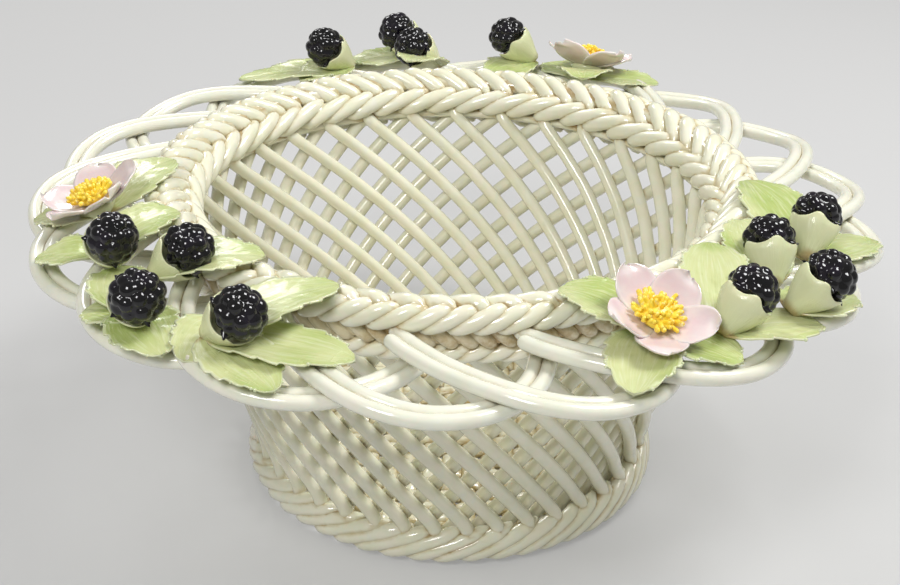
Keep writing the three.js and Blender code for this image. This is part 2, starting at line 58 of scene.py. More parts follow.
def polar(radius, degrees, height):
    turn = np.radians(degrees)
    return np.stack(np.broadcast_arrays(radius * np.cos(turn), radius * np.sin(turn), height), axis=-1)


def between(low, high, share):
    return low + (high - low) * share


def smoothstep(low, high, value):
    share = np.clip((value - low) / (high - low), 0, 1)
    return share * share * (3 - 2 * share)


def unit(vectors):
    return vectors / np.maximum(np.linalg.norm(vectors, axis=-1, keepdims=True), 1e-9)


# %% [markdown]
# A rod of soft paste never has a sharp bend: it flows through the places where it is pressed down. A
# smooth curve through a few given points gives that. The points are then walked evenly, so that the
# rings of the mesh are all the same distance apart.

# %% A smooth way through a few points
CURVE_STEPS = 12


def smooth_path(points, count):
    corners = np.asarray(points, float)
    first = 2 * corners[0] - corners[1]
    last = 2 * corners[-1] - corners[-2]
    knots = np.vstack([first, corners, last])
    share = np.linspace(0, 1, CURVE_STEPS, endpoint=False)[:, None]
    stretches = []
    for i in range(1, len(knots) - 2):
        a, b, c, d = knots[i - 1 : i + 3]
        bend = (2 * a - 5 * b + 4 * c - d) * share**2 + (3 * b - a - 3 * c + d) * share**3
        stretches.append((2 * b + (c - a) * share + bend) / 2)
    curve = np.vstack(stretches + [knots[-2][None]])
    walked = np.r_[0, np.cumsum(np.linalg.norm(np.diff(curve, axis=0), axis=1))]
    stops = np.linspace(0, walked[-1], count)
    return np.column_stack([np.interp(stops, walked, curve[:, k]) for k in range(3)])


# %% [markdown]
# A rod is a tube with round ends. A curve with a round bevel could make one, but then its corners could
# not carry a mark of their own, such as how close the next rod lies, and the glaze needs that mark. So
# the rings are made by hand: a direction square to the rod is carried along it without twisting, and the
# ends shrink over a half sphere.

# %% Tubes with round ends
END_RINGS = 4


def carried_directions(points, closed):
    if closed:
        along = unit(np.roll(points, -1, axis=0) - np.roll(points, 1, axis=0))
    else:
        along = unit(np.gradient(points, axis=0))
    side = np.cross(along[0], [0, 0, 1.0])
    if np.linalg.norm(side) < 0.1:
        side = np.cross(along[0], [1.0, 0, 0])
    sides = []
    for direction in along:
        side = side - direction * np.dot(side, direction)
        side = side / np.linalg.norm(side)
        sides.append(side)
    sides = np.array(sides)
    return along, sides, np.cross(along, sides)


def ring_faces(rings, sides, closed=False):
    """Faces between rings of corners. Open ends close on two tips that follow the last ring."""
    spokes = [(k, (k + 1) % sides) for k in range(sides)]
    faces = []
    for ring in range(rings if closed else rings - 1):
        here, above = ring * sides, (ring + 1) % rings * sides
        faces += [[here + k, here + after, above + after, above + k] for k, after in spokes]
    if not closed:
        tip, top = rings * sides, (rings - 1) * sides
        for k, after in spokes:
            faces += [[tip, after, k], [tip + 1, top + k, top + after]]
    return faces


def tube(points, radii, sides=14, closed=False):
    radii = np.broadcast_to(np.asarray(radii, float), (len(points),))
    along, right, up = carried_directions(points, closed)
    turn = np.linspace(0, 2 * np.pi, sides, endpoint=False)
    spokes = np.cos(turn)[None, :, None] * right[:, None] + np.sin(turn)[None, :, None] * up[:, None]
    rings = points[:, None] + spokes * radii[:, None, None]
    if closed:
        return rings.reshape(-1, 3), ring_faces(len(rings), sides, closed)
    lean = np.pi / 2 * np.arange(1, END_RINGS) / END_RINGS
    caps = []
    for end, sense in ((0, -1), (-1, 1)):
        centre = points[end] + np.outer(np.sin(lean), along[end]) * radii[end] * sense
        caps.append(centre[:, None] + spokes[end][None] * (radii[end] * np.cos(lean))[:, None, None])
    rings = np.concatenate([caps[0][::-1], rings, caps[1]])
    tips = [points[0] - along[0] * radii[0], points[-1] + along[-1] * radii[-1]]
    return np.vstack([rings.reshape(-1, 3), *tips]), ring_faces(len(rings), sides)


# %% [markdown]
# Each piece of woven paste is a bundle of such strands. They are all noted down first and meshed later,
# because the glaze pools where two strands nearly touch and shade is painted there as well, and that can
# only be known once every strand of the basket has its place.

# %% The bundle of strands
bundles = {}


class Strand:
    def __init__(self, points, radii, sides=14, closed=False, least_pool=0.0):
        self.least_pool = least_pool
        self.closed = closed
        self.points = np.asarray(points, float)
        self.radii = np.broadcast_to(np.asarray(radii, float), (len(self.points),))
        self.corners, self.faces = tube(self.points, self.radii, sides, closed)


def add_strand(piece, points, radii, **settings):
    bundles.setdefault(piece, []).append(Strand(points, radii, **settings))


def add_ring(piece, radius, height, thickness, least_pool=0.0, count=120):
    way = polar(radius, np.arange(count) * 360 / count, height)
    add_strand(piece, way, thickness, sides=10, closed=True, least_pool=least_pool)


# %% [markdown]
# The wall is two layers of 36 rods that lean against each other. A rod rises in a steady slant on a cone,
# from the foot ring to the rim. They were laid by eye, so they lie a little closer at the front than at
# the back, and no two are quite alike. The inner rods knuckle over into the rim. The outer rods do so at
# the foot, where each folds into the plait.

# %% The two layers of rods
ROD_RADIUS = 1.66
ROD_COUNT = 36
ROD_TWIST = 60
ROD_DRIFT = 8.3
ROD_LOW = 5.34
ROD_HIGH = 68.3
ROD_POINTS = 54
ROD_UNEVEN_DEGREES = 0.25
ROD_SWELLING = 0.02
LAYER_PITCH = 3.15
WALL_BOTTOM = 4.5
WALL_HEIGHT = 65.0
WALL_FOOT_RADIUS = 43.5
WALL_RIM_RADIUS = 61.4
WALL_SLOPE = (WALL_RIM_RADIUS - WALL_FOOT_RADIUS) / WALL_HEIGHT
INNER_HEIGHTS = (5.0, 16, 28, 40, 52, 60, 65.4)
OUTER_HEIGHTS = (13, 20, 30, 42, 54, 63, 69.2)
# In a bend, each stop is a height, how far it leans outwards, and how many degrees it runs ahead.
INNER_KNEE = [(67.6, 0.1, -0.15), (69.6, 0.9, -0.9), (70.9, 2.3, -2.2)]
OUTER_ELBOW = [(6.9, 1.1, -2.3), (8.2, 1.0, -0.7), (10.4, 0.4, 0.1)]


def wall_radius(height, layer):
    share = (height - WALL_BOTTOM) / WALL_HEIGHT
    return between(WALL_FOOT_RADIUS, WALL_RIM_RADIUS, share) + layer * LAYER_PITCH


def drifted(degrees):
    return degrees - ROD_DRIFT * np.cos(np.radians(degrees))


def rod_point(start, hand, layer, height, outwards=0, extra_turn=0):
    share = (height - ROD_LOW) / (ROD_HIGH - ROD_LOW) - 0.5
    turn = drifted(start + hand * ROD_TWIST * share) + extra_turn
    return polar(wall_radius(height, layer) + outwards, turn, height)


def rod_path(number, hand, layer, stops):
    start = number * 360 / ROD_COUNT + chance.normal(0, ROD_UNEVEN_DEGREES)
    return smooth_path([rod_point(start, hand, layer, *stop) for stop in stops], ROD_POINTS)


inner_stops = [(height,) for height in INNER_HEIGHTS] + INNER_KNEE
outer_stops = OUTER_ELBOW + [(height,) for height in OUTER_HEIGHTS]
for number in range(ROD_COUNT):
    inner = rod_path(number, 1, 0, inner_stops)
    outer = rod_path(number, -1, 1, outer_stops)
    for piece, path in (("inner_rods", inner), ("outer_rods", outer)):
        swelling = 1 + ROD_SWELLING * np.sin(np.linspace(0, 9, len(path)) + chance.uniform(0, 6))
        add_strand(piece, path, ROD_RADIUS * swelling)
add_ring("inner_rods", wall_radius(68.6, 0) + 1.3, 68.7, 1.15)
add_ring("outer_rods", wall_radius(68.2, 1) + 0.2, 68.4, 1.2)
print("rods:", len(bundles["inner_rods"]) + len(bundles["outer_rods"]), "strands with their slip rings")

# %% [markdown]
# A plait is a row of short fat strands, here called grains, laid side by side on a slant. Each starts
# under one neighbouring row and ends under the other, so only its belly shows. One profile across the row
# and one slide along it describe every grain, and a small random nudge keeps the row from looking turned
# on a lathe. A ring of slip lies under the grains and nearly fills the grooves, as in the photograph. The
# crest of the rim is about 2 mm higher than on the solids, because the grains stand proud of the row.

# %% Plaited rows
GRAIN_POINTS = 13
GRAIN_TAPER = 0.5
GRAIN_UNEVEN_SHARE = 0.055
GRAIN_UNEVEN_HEIGHT = 0.09


def grain_path(profile, degrees, slide, hand):
    knots = []
    for radius, height, share in profile:
        knots.append(polar(radius, degrees + hand * slide * share, height))
    return smooth_path(knots, GRAIN_POINTS)


def plait(piece, profile, count, pitches, hand, thickness, least_pool=0.0):
    pitch = 360 / count
    walk = np.linspace(-1, 1, GRAIN_POINTS)
    swell = between(GRAIN_TAPER, 1, np.sqrt(np.clip(1 - walk**4, 0, 1)))
    for i in range(count):
        nudge = chance.normal(0, GRAIN_UNEVEN_SHARE) * pitch
        path = grain_path(profile, i * pitch + nudge, pitches * pitch, hand)
        path[:, 2] += chance.normal(0, GRAIN_UNEVEN_HEIGHT)
        thick = thickness * swell * chance.uniform(0.96, 1.05)
        add_strand(piece, path, thick, least_pool=least_pool)


# %% The rows of the rim and the foot
# Each stop of a profile is a radius, a height, and a share of the grain's slide along the row.
INNER_ROW = [(62.3, 69.8, 0), (61.3, 70.9, 0.16), (61.2, 72.5, 0.42), (62.2, 73.9, 0.74), (63.9, 74.6, 1)]
plait("rim_inner_row", INNER_ROW, count=52, pitches=2.0, hand=-1, thickness=1.95)
add_ring("rim_inner_row", 62.4, 72.6, 2.2)

MIDDLE_ROW = [(63.2, 73.9, 0), (64.5, 75.3, 0.2), (66.2, 76.9, 0.5), (67.8, 77.9, 0.78), (69.3, 77.3, 1)]
plait("rim_middle_row", MIDDLE_ROW, count=66, pitches=1.6, hand=1, thickness=2.1)
add_ring("rim_middle_row", 66.3, 75.9, 2.3)

OUTER_ROW = [(68.8, 77.4, 0), (70.1, 77.3, 0.22), (70.8, 75.8, 0.52), (70.5, 74.4, 0.8), (69.2, 73.6, 1)]
plait("rim_outer_row", OUTER_ROW, count=84, pitches=2.2, hand=-1, thickness=1.75)
add_ring("rim_outer_row", 69.0, 75.8, 2.0)

UNDER_ROW = [(66.1, 68.4, 0), (67.5, 68.1, 0.25), (68.0, 66.9, 0.6), (66.7, 65.3, 1)]
plait("rim_under_row", UNDER_ROW, count=84, pitches=2.0, hand=-1, thickness=1.6)
add_ring("rim_under_row", 67.2, 67.0, 1.6)
# This ring lies in the recess under the outer row. Its high least value paints it tan: pooled glaze and
# painted shade.
add_ring("rim_under_row", 67.7, 71.3, 2.1, least_pool=1.25)

FOOT_PLAIT = [(47.7, 8.2, 0), (49.1, 7.2, 0.2), (49.8, 5.2, 0.5), (50.1, 3.3, 0.8), (49.5, 2.1, 1)]
plait("foot_plait", FOOT_PLAIT, count=50, pitches=3.0, hand=-1, thickness=1.95)
add_ring("foot_plait", 49.3, 4.8, 1.95)
for name in bundles:
    print(name, "has", len(bundles[name]), "strands")

# %% [markdown]
# The border is eighteen double loops. Two rods run side by side out from under the rim's outer row, swing
# round, and come back lower down to the row underneath, passing below the next two loops. The way of the
# pair is one table of degrees, reach and drop. Each rod is that way shifted half a pitch to its side, and
# both of its ends tuck in a little further, where slip holds them.

# %% Double loops of the border
LOOP_COUNT = 18
LOOP_START_DEGREES = 2
LOOP_RADIUS = 1.56
LOOP_PITCH = 2.95
LOOP_START_HEIGHT = 72.65
LOOP_DROP = 3.2
LOOP_START_RADIUS = 73.8
LOOP_END_RADIUS = 71.7
LOOP_REACH_RADIUS = 96.7
LOOP_WAY_POINTS = 70
LOOP_ROD_POINTS = 66
LOOP_TREMOR = 0.12
TUCK_IN = 2.8
TUCK_OUT = 1.8
# Degrees along the border, share of the way out to its edge, share of the drop.
LOOP_OUT_SHARES = [
    (0, 0, 0),
    (3, 0.175, 0),
    (6.7, 0.39, 0),
    (10.3, 0.587, 0),
    (14, 0.775, 0.03),
    (18, 0.93, 0.2),
    (22, 1, 0.5),
]
LOOP_BACK_SHARES = [
    (26, 0.994, 0.8),
    (30.5, 0.92, 0.97),
    (34, 0.797, 1.03),
    (37.5, 0.584, 1.18),
    (40.3, 0.313, 1.45),
    (42.8, 0, 1.72),
]


def loop_way(first_degrees):
    knots = []
    for radius, shares in ((LOOP_START_RADIUS, LOOP_OUT_SHARES), (LOOP_END_RADIUS, LOOP_BACK_SHARES)):
        for degrees, reach, drop in shares:
            height = LOOP_START_HEIGHT - LOOP_DROP * drop
            knots.append(polar(between(radius, LOOP_REACH_RADIUS, reach), first_degrees + degrees, height))
    return smooth_path(knots, LOOP_WAY_POINTS)


def side_by_side(way, shift, trim_start, trim_end):
    along = unit(np.gradient(way, axis=0))
    level = unit(np.cross(along, [0, 0, 1.0]))
    path = (way + level * shift)[trim_start : len(way) - trim_end]
    start = path[0] - along[trim_start] * TUCK_IN + [0, 0, 0.2]
    end = path[-1] + along[len(way) - trim_end - 1] * TUCK_OUT + [0, 0, 0.3]
    return smooth_path(np.vstack([start, path, end]), LOOP_ROD_POINTS)


for i in range(LOOP_COUNT):
    way = loop_way(LOOP_START_DEGREES + i * 360 / LOOP_COUNT)
    piece = f"loop_{i + 1:02d}"
    for shift, trim_start, trim_end in ((-LOOP_PITCH / 2, 0, 0), (LOOP_PITCH / 2, 2, 1)):
        path = side_by_side(way, shift, trim_start, trim_end)
        path[:, 2] += LOOP_TREMOR * np.sin(np.linspace(0, 5, len(path)) + chance.uniform(0, 6))
        add_strand(piece, path, LOOP_RADIUS)
print("loops:", LOOP_COUNT)

# %% [markdown]
# The floor doesn't show in the photograph, so it is the usual one: rods of paste woven over and under and
# pressed flat into a tight mat, resting in a smooth foot ring. A rod's height follows a wave that is up
# where it crosses over and down where it goes under, and the rods across it follow the opposite wave.
# Round tubes are drawn first, on a wave as much too tall as they are, and then all of it is pressed down.

# %% The woven floor and its foot ring
FLOOR_RADIUS = 42.3
FLOOR_PITCH = 4.85
FLOOR_MIDDLE = 3.9
FLOOR_WAVE = 0.85
FLOOR_STRAND_WIDE = 1.85
FLOOR_STRAND_TALL = 0.85
FOOT_RING = [
    (40.9, 0.5),
    (41.6, 0.05),
    (45.6, 0.05),
    (46.2, 0.6),
    (46.3, 3.4),
    (45.6, 4.15),
    (41.4, 4.15),
    (40.7, 3.3),
]


def add_floor_strand(offset, number, crosswise):
    half = math.sqrt(FLOOR_RADIUS**2 - offset**2)
    way = np.linspace(-half, half, max(8, int(half / FLOOR_PITCH * 12)))
    wave = np.cos(np.pi * (way / FLOOR_PITCH + number)) * FLOOR_WAVE * (-1 if crosswise else 1)
    line = np.full_like(way, offset)
    flat = (line, way) if crosswise else (way, line)
    pressed = FLOOR_STRAND_TALL / FLOOR_STRAND_WIDE
    add_strand("woven_floor", np.column_stack([*flat, wave / pressed]), FLOOR_STRAND_WIDE, sides=12)
    strand = bundles["woven_floor"][-1]
    for points in (strand.points, strand.corners):
        points[:, 2] = points[:, 2] * pressed + FLOOR_MIDDLE


reach = int(FLOOR_RADIUS / FLOOR_PITCH)
for number in range(-reach, reach + 1):
    for crosswise in (False, True):
        add_floor_strand(number * FLOOR_PITCH, number, crosswise)
# The slip ring round the floor is half tan from the start: pooled glaze and painted shade.
add_ring("woven_floor", 41.2, 4.55, 0.9, least_pool=0.5)
print("strands in the floor:", len(bundles["woven_floor"]))

# %% [markdown]
# One function turns corners and faces into an object, smooths it, stores its marks, names it after the
# solid it stands for and hides that solid. Everything fired together can't move, so every piece rides on
# the root.

# %% From corners to an object
pieces = {}


def merged(parts):
    corners, faces, marks, low = [], [], {}, 0
    for part in parts:
        corners.append(part[0])
        faces += [[corner + low for corner in face] for face in part[1]]
        for name, values in (part[2] if len(part) > 2 else {}).items():
            marks.setdefault(name, []).append(np.asarray(values, float))
        low += len(part[0])
    return np.vstack(corners), faces, {name: np.concatenate(values) for name, values in marks.items()}


def in_scene(name, data):
    thing = bpy.data.objects.new(name, data)
    bpy.context.scene.collection.objects.link(thing)
    return thing


def make_piece(node, parts, slot, nodes=None):
    name = node + "_glazed"
    corners, faces, marks = merged(parts)
    mesh = bpy.data.meshes.new(name)
    mesh.from_pydata((corners * MM).tolist(), [], faces)
    mesh.polygons.foreach_set("use_smooth", [True] * len(mesh.polygons))
    for mark, values in marks.items():
        mesh.attributes.new(mark, "FLOAT", "POINT").data.foreach_set("value", values)
    mesh.validate()
    mesh.update()
    piece = in_scene(name, mesh)
    nodes = nodes or [node]
    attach(piece, "root")
    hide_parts(*nodes)
    pieces[name] = (piece, slot)


def even_marks(count, values):
    return {name: np.full(count, float(value)) for name, value in values.items()}


def turned(outline, segments=96):
    rings = [polar(radius, np.arange(segments) * 360 / segments, height) for radius, height in outline]
    return np.vstack(rings), ring_faces(len(outline), segments, closed=True)


# %% [markdown]
# The sprays repeat one idea three times: a flower, then four brambles in cups, all with leaves that lie
# on the rods. The table gives each cluster's place as it was read from the photograph. Heights come from
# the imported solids, because there each cluster has been let down until it rests on the rods. Measured once
# more, the brambles lean 10 degrees further out than on the solids, their cups are deeper, and one bramble
# at the back stands higher, so this finer dress has all three.

# %% Where the sprays lie
BORDER_RADIUS = 100.0
BORDER_INSIDE = 71.88
BERRY_RADIUS = 5.9
BERRY_HEIGHT = 8.4
SOLID_TILT = 40
BERRY_TILT = 50
CUP_DEPTH = 8.0
RAISED = {"back_bramble_2": 2.2}
CUP_MOUTH_HEIGHT = 80.56
FLOWER_RADIUS = 11.6
FLOWER_TILT = 22
FLOWER_HEIGHT = 79.6
LEAF_ON_RIM = 80.4
OVER_RIM = 1.7
LEAF_ON_LOOPS = 74.82
LEAF_ON_TIPS = 73.22
# Each flower: how far in from the border's edge, in its own radii, degrees round the basket, leaf tips.
# Each bramble: the same, with a swing of its lean in degrees before the leaf tips.
# Each leaf tip: share of the way out over the border (below 0.25 it lies on the rim), degrees.
SPRAYS = {
    "left": {
        "flower": (1.41, 196, [(-0.2, 182), (0.9, 193)]),
        "brambles": [
            (2.38, 214, 0, [(0.94, 205), (-0.15, 208)]),
            (3.81, 224, 35, [(-0.24, 234)]),
            (0.86, 230, -20, [(0.9, 221), (0.42, 214), (0.93, 236)]),
            (1.72, 242.5, 0, [(0.91, 239), (0.95, 251), (0.5, 258), (-0.13, 251)]),
        ],
    },
    "right": {
        "flower": (1.41, 298, [(-0.15, 288), (0.93, 290), (0.9, 305)]),
        "brambles": [
            (1.81, 309.5, 0, [(0.93, 319), (-0.12, 322)]),
            (3.34, 325.5, 35, [(-0.09, 334)]),
            (0.86, 320.5, -35, [(0.9, 329)]),
            (2.62, 337.5, 0, [(0.9, 346), (-0.13, 353)]),
        ],
    },
    "back": {
        "flower": (0.97, 65, [(0.9, 74), (0.85, 53), (-0.1, 60)]),
        "brambles": [
            (1.33, 79.5, 0, [(0.3, 84)]),
            (2.86, 97.5, 20, [(0.05, 101)]),
            (0.86, 99.5, -10, [(0.93, 93), (0.9, 109)]),
            (2.38, 114.5, 0, [(0.4, 122), (0.85, 130)]),
        ],
    },
}


def leaning(tilt, towards):
    axis = Vector((-math.sin(math.radians(towards)), math.cos(math.radians(towards)), 0))
    return np.array(Matrix.Rotation(math.radians(tilt), 3, axis))


def node_reach(node, direction):
    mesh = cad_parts[node].data
    corners = np.zeros(len(mesh.vertices) * 3)
    mesh.vertices.foreach_get("co", corners)
    return (corners.reshape(-1, 3) @ direction).max() / MM


def settled_centre(node, place, turn, top):
    """A cluster's own origin. Its plan place is given, and its solid's highest reach gives the height."""
    axis = turn @ [0, 0, 1.0]
    height = (node_reach(node, axis) - top - place[0] * axis[0] - place[1] * axis[1]) / axis[2]
    return np.array([place[0], place[1], height])


print("brambles to set out:", sum(len(spray["brambles"]) for spray in SPRAYS.values()))


# %% [markdown]
# A bramble is a dome of drupelets, each a bead of paste pressed on a core. The thick black glaze has filled
# the grooves between them. Separate balls would look like a string of beads, so the dome is one skin whose
# distance from its middle follows the nearest bead, and a soft maximum rounds the grooves. The beads sit on
# a spiral that shares out the dome evenly. Pointed sepals peep out under it, black like the fruit.

# %% Brambles
BEAD_COUNT = 32
BEAD_SPREAD = 0.335
BEAD_PROUD = 1.05
# How far down the dome the beads go: 2 would be all the way.
BEAD_REACH = 1.7
GROOVE_SOFTNESS = 0.06
GOLDEN_TURN = math.pi * (3 - math.sqrt(5))
DOME_RINGS, DOME_SIDES = 56, 84
DOME_MIDDLE = 2.7
DOME_WIDE = 4.7
DOME_TALL = 4.45
DOME_DEEP = 2.9
SEPAL_COUNT = 4
SEPAL_RADII = (1.2, 1.25, 1.15, 1.0, 0.8, 0.6, 0.4, 0.22)
SEPAL_WAY = [(4.1, 0.9), (5.2, 0.9), (5.85, 0.8)]


def globe(rings, sides):
    """Directions from the top down. Each face is turned over, so that its outer side stays outside."""
    tilt = np.linspace(0, np.pi, rings + 1)[1:-1]
    turn = np.linspace(0, 2 * np.pi, sides, endpoint=False)
    wide = np.sin(tilt)
    level = np.outer(np.cos(tilt), np.ones(sides))
    shell = np.stack([np.outer(wide, np.cos(turn)), np.outer(wide, np.sin(turn)), level], axis=-1)
    faces = [face[:1] + face[:0:-1] for face in ring_faces(rings - 1, sides)]
    return np.vstack([shell.reshape(-1, 3), [[0, 0, 1], [0, 0, -1]]]), faces


def ball(centre, radius, rings, sides, stretch=(1, 1, 1)):
    directions, faces = globe(rings, sides)
    return directions * radius * np.array(stretch) + centre, faces


def bramble_dome():
    ways, faces = globe(DOME_RINGS, DOME_SIDES)
    spin = chance.uniform(0, 6)
    number = np.arange(BEAD_COUNT)
    level = 1 - BEAD_REACH * (number + 0.5) / BEAD_COUNT
    around = number * GOLDEN_TURN + spin
    flat = np.sqrt(1 - level**2)
    beads = np.stack([flat * np.cos(around), flat * np.sin(around), level], axis=-1)
    beads = unit(beads + chance.normal(0, 0.05, beads.shape))
    spread = BEAD_SPREAD * chance.uniform(0.88, 1.12, BEAD_COUNT)
    proud = BEAD_PROUD * chance.uniform(0.8, 1.1, BEAD_COUNT)
    away = np.arccos(np.clip(ways @ beads.T, -1, 1)) / spread
    bumps = proud * np.sqrt(np.clip(1 - away**2, 0, 1))
    skin = GROOVE_SOFTNESS * np.log(np.exp(bumps / GROOVE_SOFTNESS).sum(1) / 2)
    tall = np.where(ways[:, 2] > 0, DOME_TALL, DOME_DEEP)
    core = 1 / np.sqrt((ways[:, 0] ** 2 + ways[:, 1] ** 2) / DOME_WIDE**2 + ways[:, 2] ** 2 / tall**2)
    return ways * (core + skin)[:, None] + [0, 0, DOME_MIDDLE], faces


def sepal_part(around):
    way = np.array([math.cos(around), math.sin(around), 0])
    knots = [way * radius + [0, 0, height] for radius, height in SEPAL_WAY]
    knots[-1][2] += chance.uniform(-0.3, 0.4)
    corners, faces = tube(smooth_path(knots, len(SEPAL_RADII)), SEPAL_RADII, 10)
    return corners * [1, 1, 0.7] + [0, 0, 0.2], faces


def bramble_parts():
    start = chance.uniform(0, 6)
    turns = [start + i * 2 * math.pi / SEPAL_COUNT + chance.normal(0, 0.12) for i in range(SEPAL_COUNT)]
    return [bramble_dome()] + [sepal_part(around) for around in turns]


def placed(parts, turn, centre):
    return [(part[0] @ turn.T + centre, *part[1:]) for part in parts]


# %% [markdown]
# Under each bramble is a green cup like a small cone, with pointed lobes round its mouth. A potter rolls it
# from a scrap of paste. One outline turned round an axis gives it, and five waves round the mouth lift and
# flare the lobes. The marks that it carries say where its foot and its edge are, for the painter.

# %% Cups
CUP_SIDES = 60
CUP_LOBES = 5
CUP_FLOOR = -2.3
# Radius, height, and how far a lobe flares and rises there.
CUP_OUTLINE = [
    (1.5, -CUP_DEPTH, 0, 0),
    (2.1, -CUP_DEPTH * 0.93, 0, 0),
    (2.7, -CUP_DEPTH * 0.74, 0, 0),
    (4.0, -CUP_DEPTH * 0.46, 0.07, 0),
    (5.0, -CUP_DEPTH * 0.18, 0.21, 0.2),
    (5.35, -0.2, 0.35, 0.9),
    (5.25, 0.0, 0.392, 1.15),
    (5.0, -0.1, 0.28, 1.0),
    (4.5, -1.0, 0, 0),
    (2.0, -2.2, 0, 0),
]


def cup_part():
    turn = np.arange(CUP_SIDES) * 2 * np.pi / CUP_SIDES
    lobe = (0.5 + 0.5 * np.cos(turn * CUP_LOBES + chance.uniform(0, 6))) ** 1.6
    rings = []
    for radius, height, flare, rise in CUP_OUTLINE:
        wide = radius + flare * lobe
        rings.append(np.column_stack([wide * np.cos(turn), wide * np.sin(turn), height + rise * lobe]))
    corners = np.vstack(rings + [[0, 0, -CUP_DEPTH], [0, 0, CUP_FLOOR]])
    height = corners[:, 2]
    up = (height + CUP_DEPTH) / CUP_DEPTH
    marks = {
        "vein": np.clip(0.3 - up * 0.3, 0, 1),
        "margin": smoothstep(-1.0, 1.2, height) * 0.5,
        "along": np.clip(up, 0, 1) * 0.7,
        "across": np.r_[np.tile(np.sin(turn * 2), len(CUP_OUTLINE)), 0, 0],
        "cup": np.ones(len(corners)),
        "foot": 1 - smoothstep(-CUP_DEPTH, -CUP_DEPTH * 0.45, height),
        "seed": np.full(len(corners), chance.random()),
    }
    return corners, ring_faces(len(CUP_OUTLINE), CUP_SIDES), marks


# %% [markdown]
# A leaf and a petal are both a thin sheet of paste. A flat mesh would have no edge to catch the light, and
# a thickness added afterwards would be the same all over. So a sheet is given twice, as its upper and its
# lower skin, and this closes the two with a strip round the edge.

# %% Sheets with two skins
def two_skins(top, under, marks):
    along, across = top.shape[:2]
    size = along * across
    corners = np.vstack([top.reshape(-1, 3), under.reshape(-1, 3)])
    faces = []
    for i in range(along - 1):
        for j in range(across - 1):
            a = i * across + j
            b, c, d = a + 1, a + across + 1, a + across
            faces.append([a, d, c, b])
            faces.append([a + size, b + size, c + size, d + size])
    grid = np.arange(size).reshape(along, across)
    edge = np.concatenate([grid[0], grid[1:, -1], grid[-1, -2::-1], grid[-2:0:-1, 0]]).tolist()
    for here, after in zip(edge, edge[1:] + edge[:1]):
        faces.append([here, after, after + size, here + size])
    return corners, faces, {name: np.tile(value.ravel(), 2) for name, value in marks.items()}


# %% [markdown]
# Leaves spring from the foot of the cup. A leaf is laid along a rib that arches from the stalk to the tip.
# Saw teeth along its margin, a groove along the rib and shallow side veins are real relief here, because
# the glossy glaze shows every one of them. Where a tip lies close to its cup, the leaf starts further back,
# under the cup, so that it doesn't become a stub. Small drops of glaze hang along its outer edge.

# %% Leaves
LEAF_ALONG = 42
LEAF_ACROSS = 20
LEAF_WIDTH = 15.0
LEAF_FULLNESS = 1.1
LEAF_SHORTEST = 15.0
LEAF_THICK = 0.9
TOOTH_COUNT = 6
TOOTH_DEPTH = 0.11
RIB_DEPTH = 0.34
VEIN_COUNT = 6
VEIN_DEPTH = 0.12
DROP_COUNT = 9
DROP_RADIUS = 0.36
DROP_MARKS = {"vein": 0, "margin": 1, "along": 1, "across": 1, "foot": 0, "seed": 0.5, "cup": 0}


def leaf_drops(top):
    """Drops of glaze on the two sides of a leaf's edge in turn."""
    drops = []
    for i in range(DROP_COUNT):
        row = int(between(0.55, 0.99, chance.random()) * (LEAF_ALONG - 1))
        edge = 0 if i % 2 else LEAF_ACROSS - 1
        radius = DROP_RADIUS * chance.uniform(0.6, 1.1)
        corners, faces = ball(top[row, edge] - [0, 0, 0.12], radius, 6, 8)
        drops.append((corners, faces, even_marks(len(corners), DROP_MARKS)))
    return drops


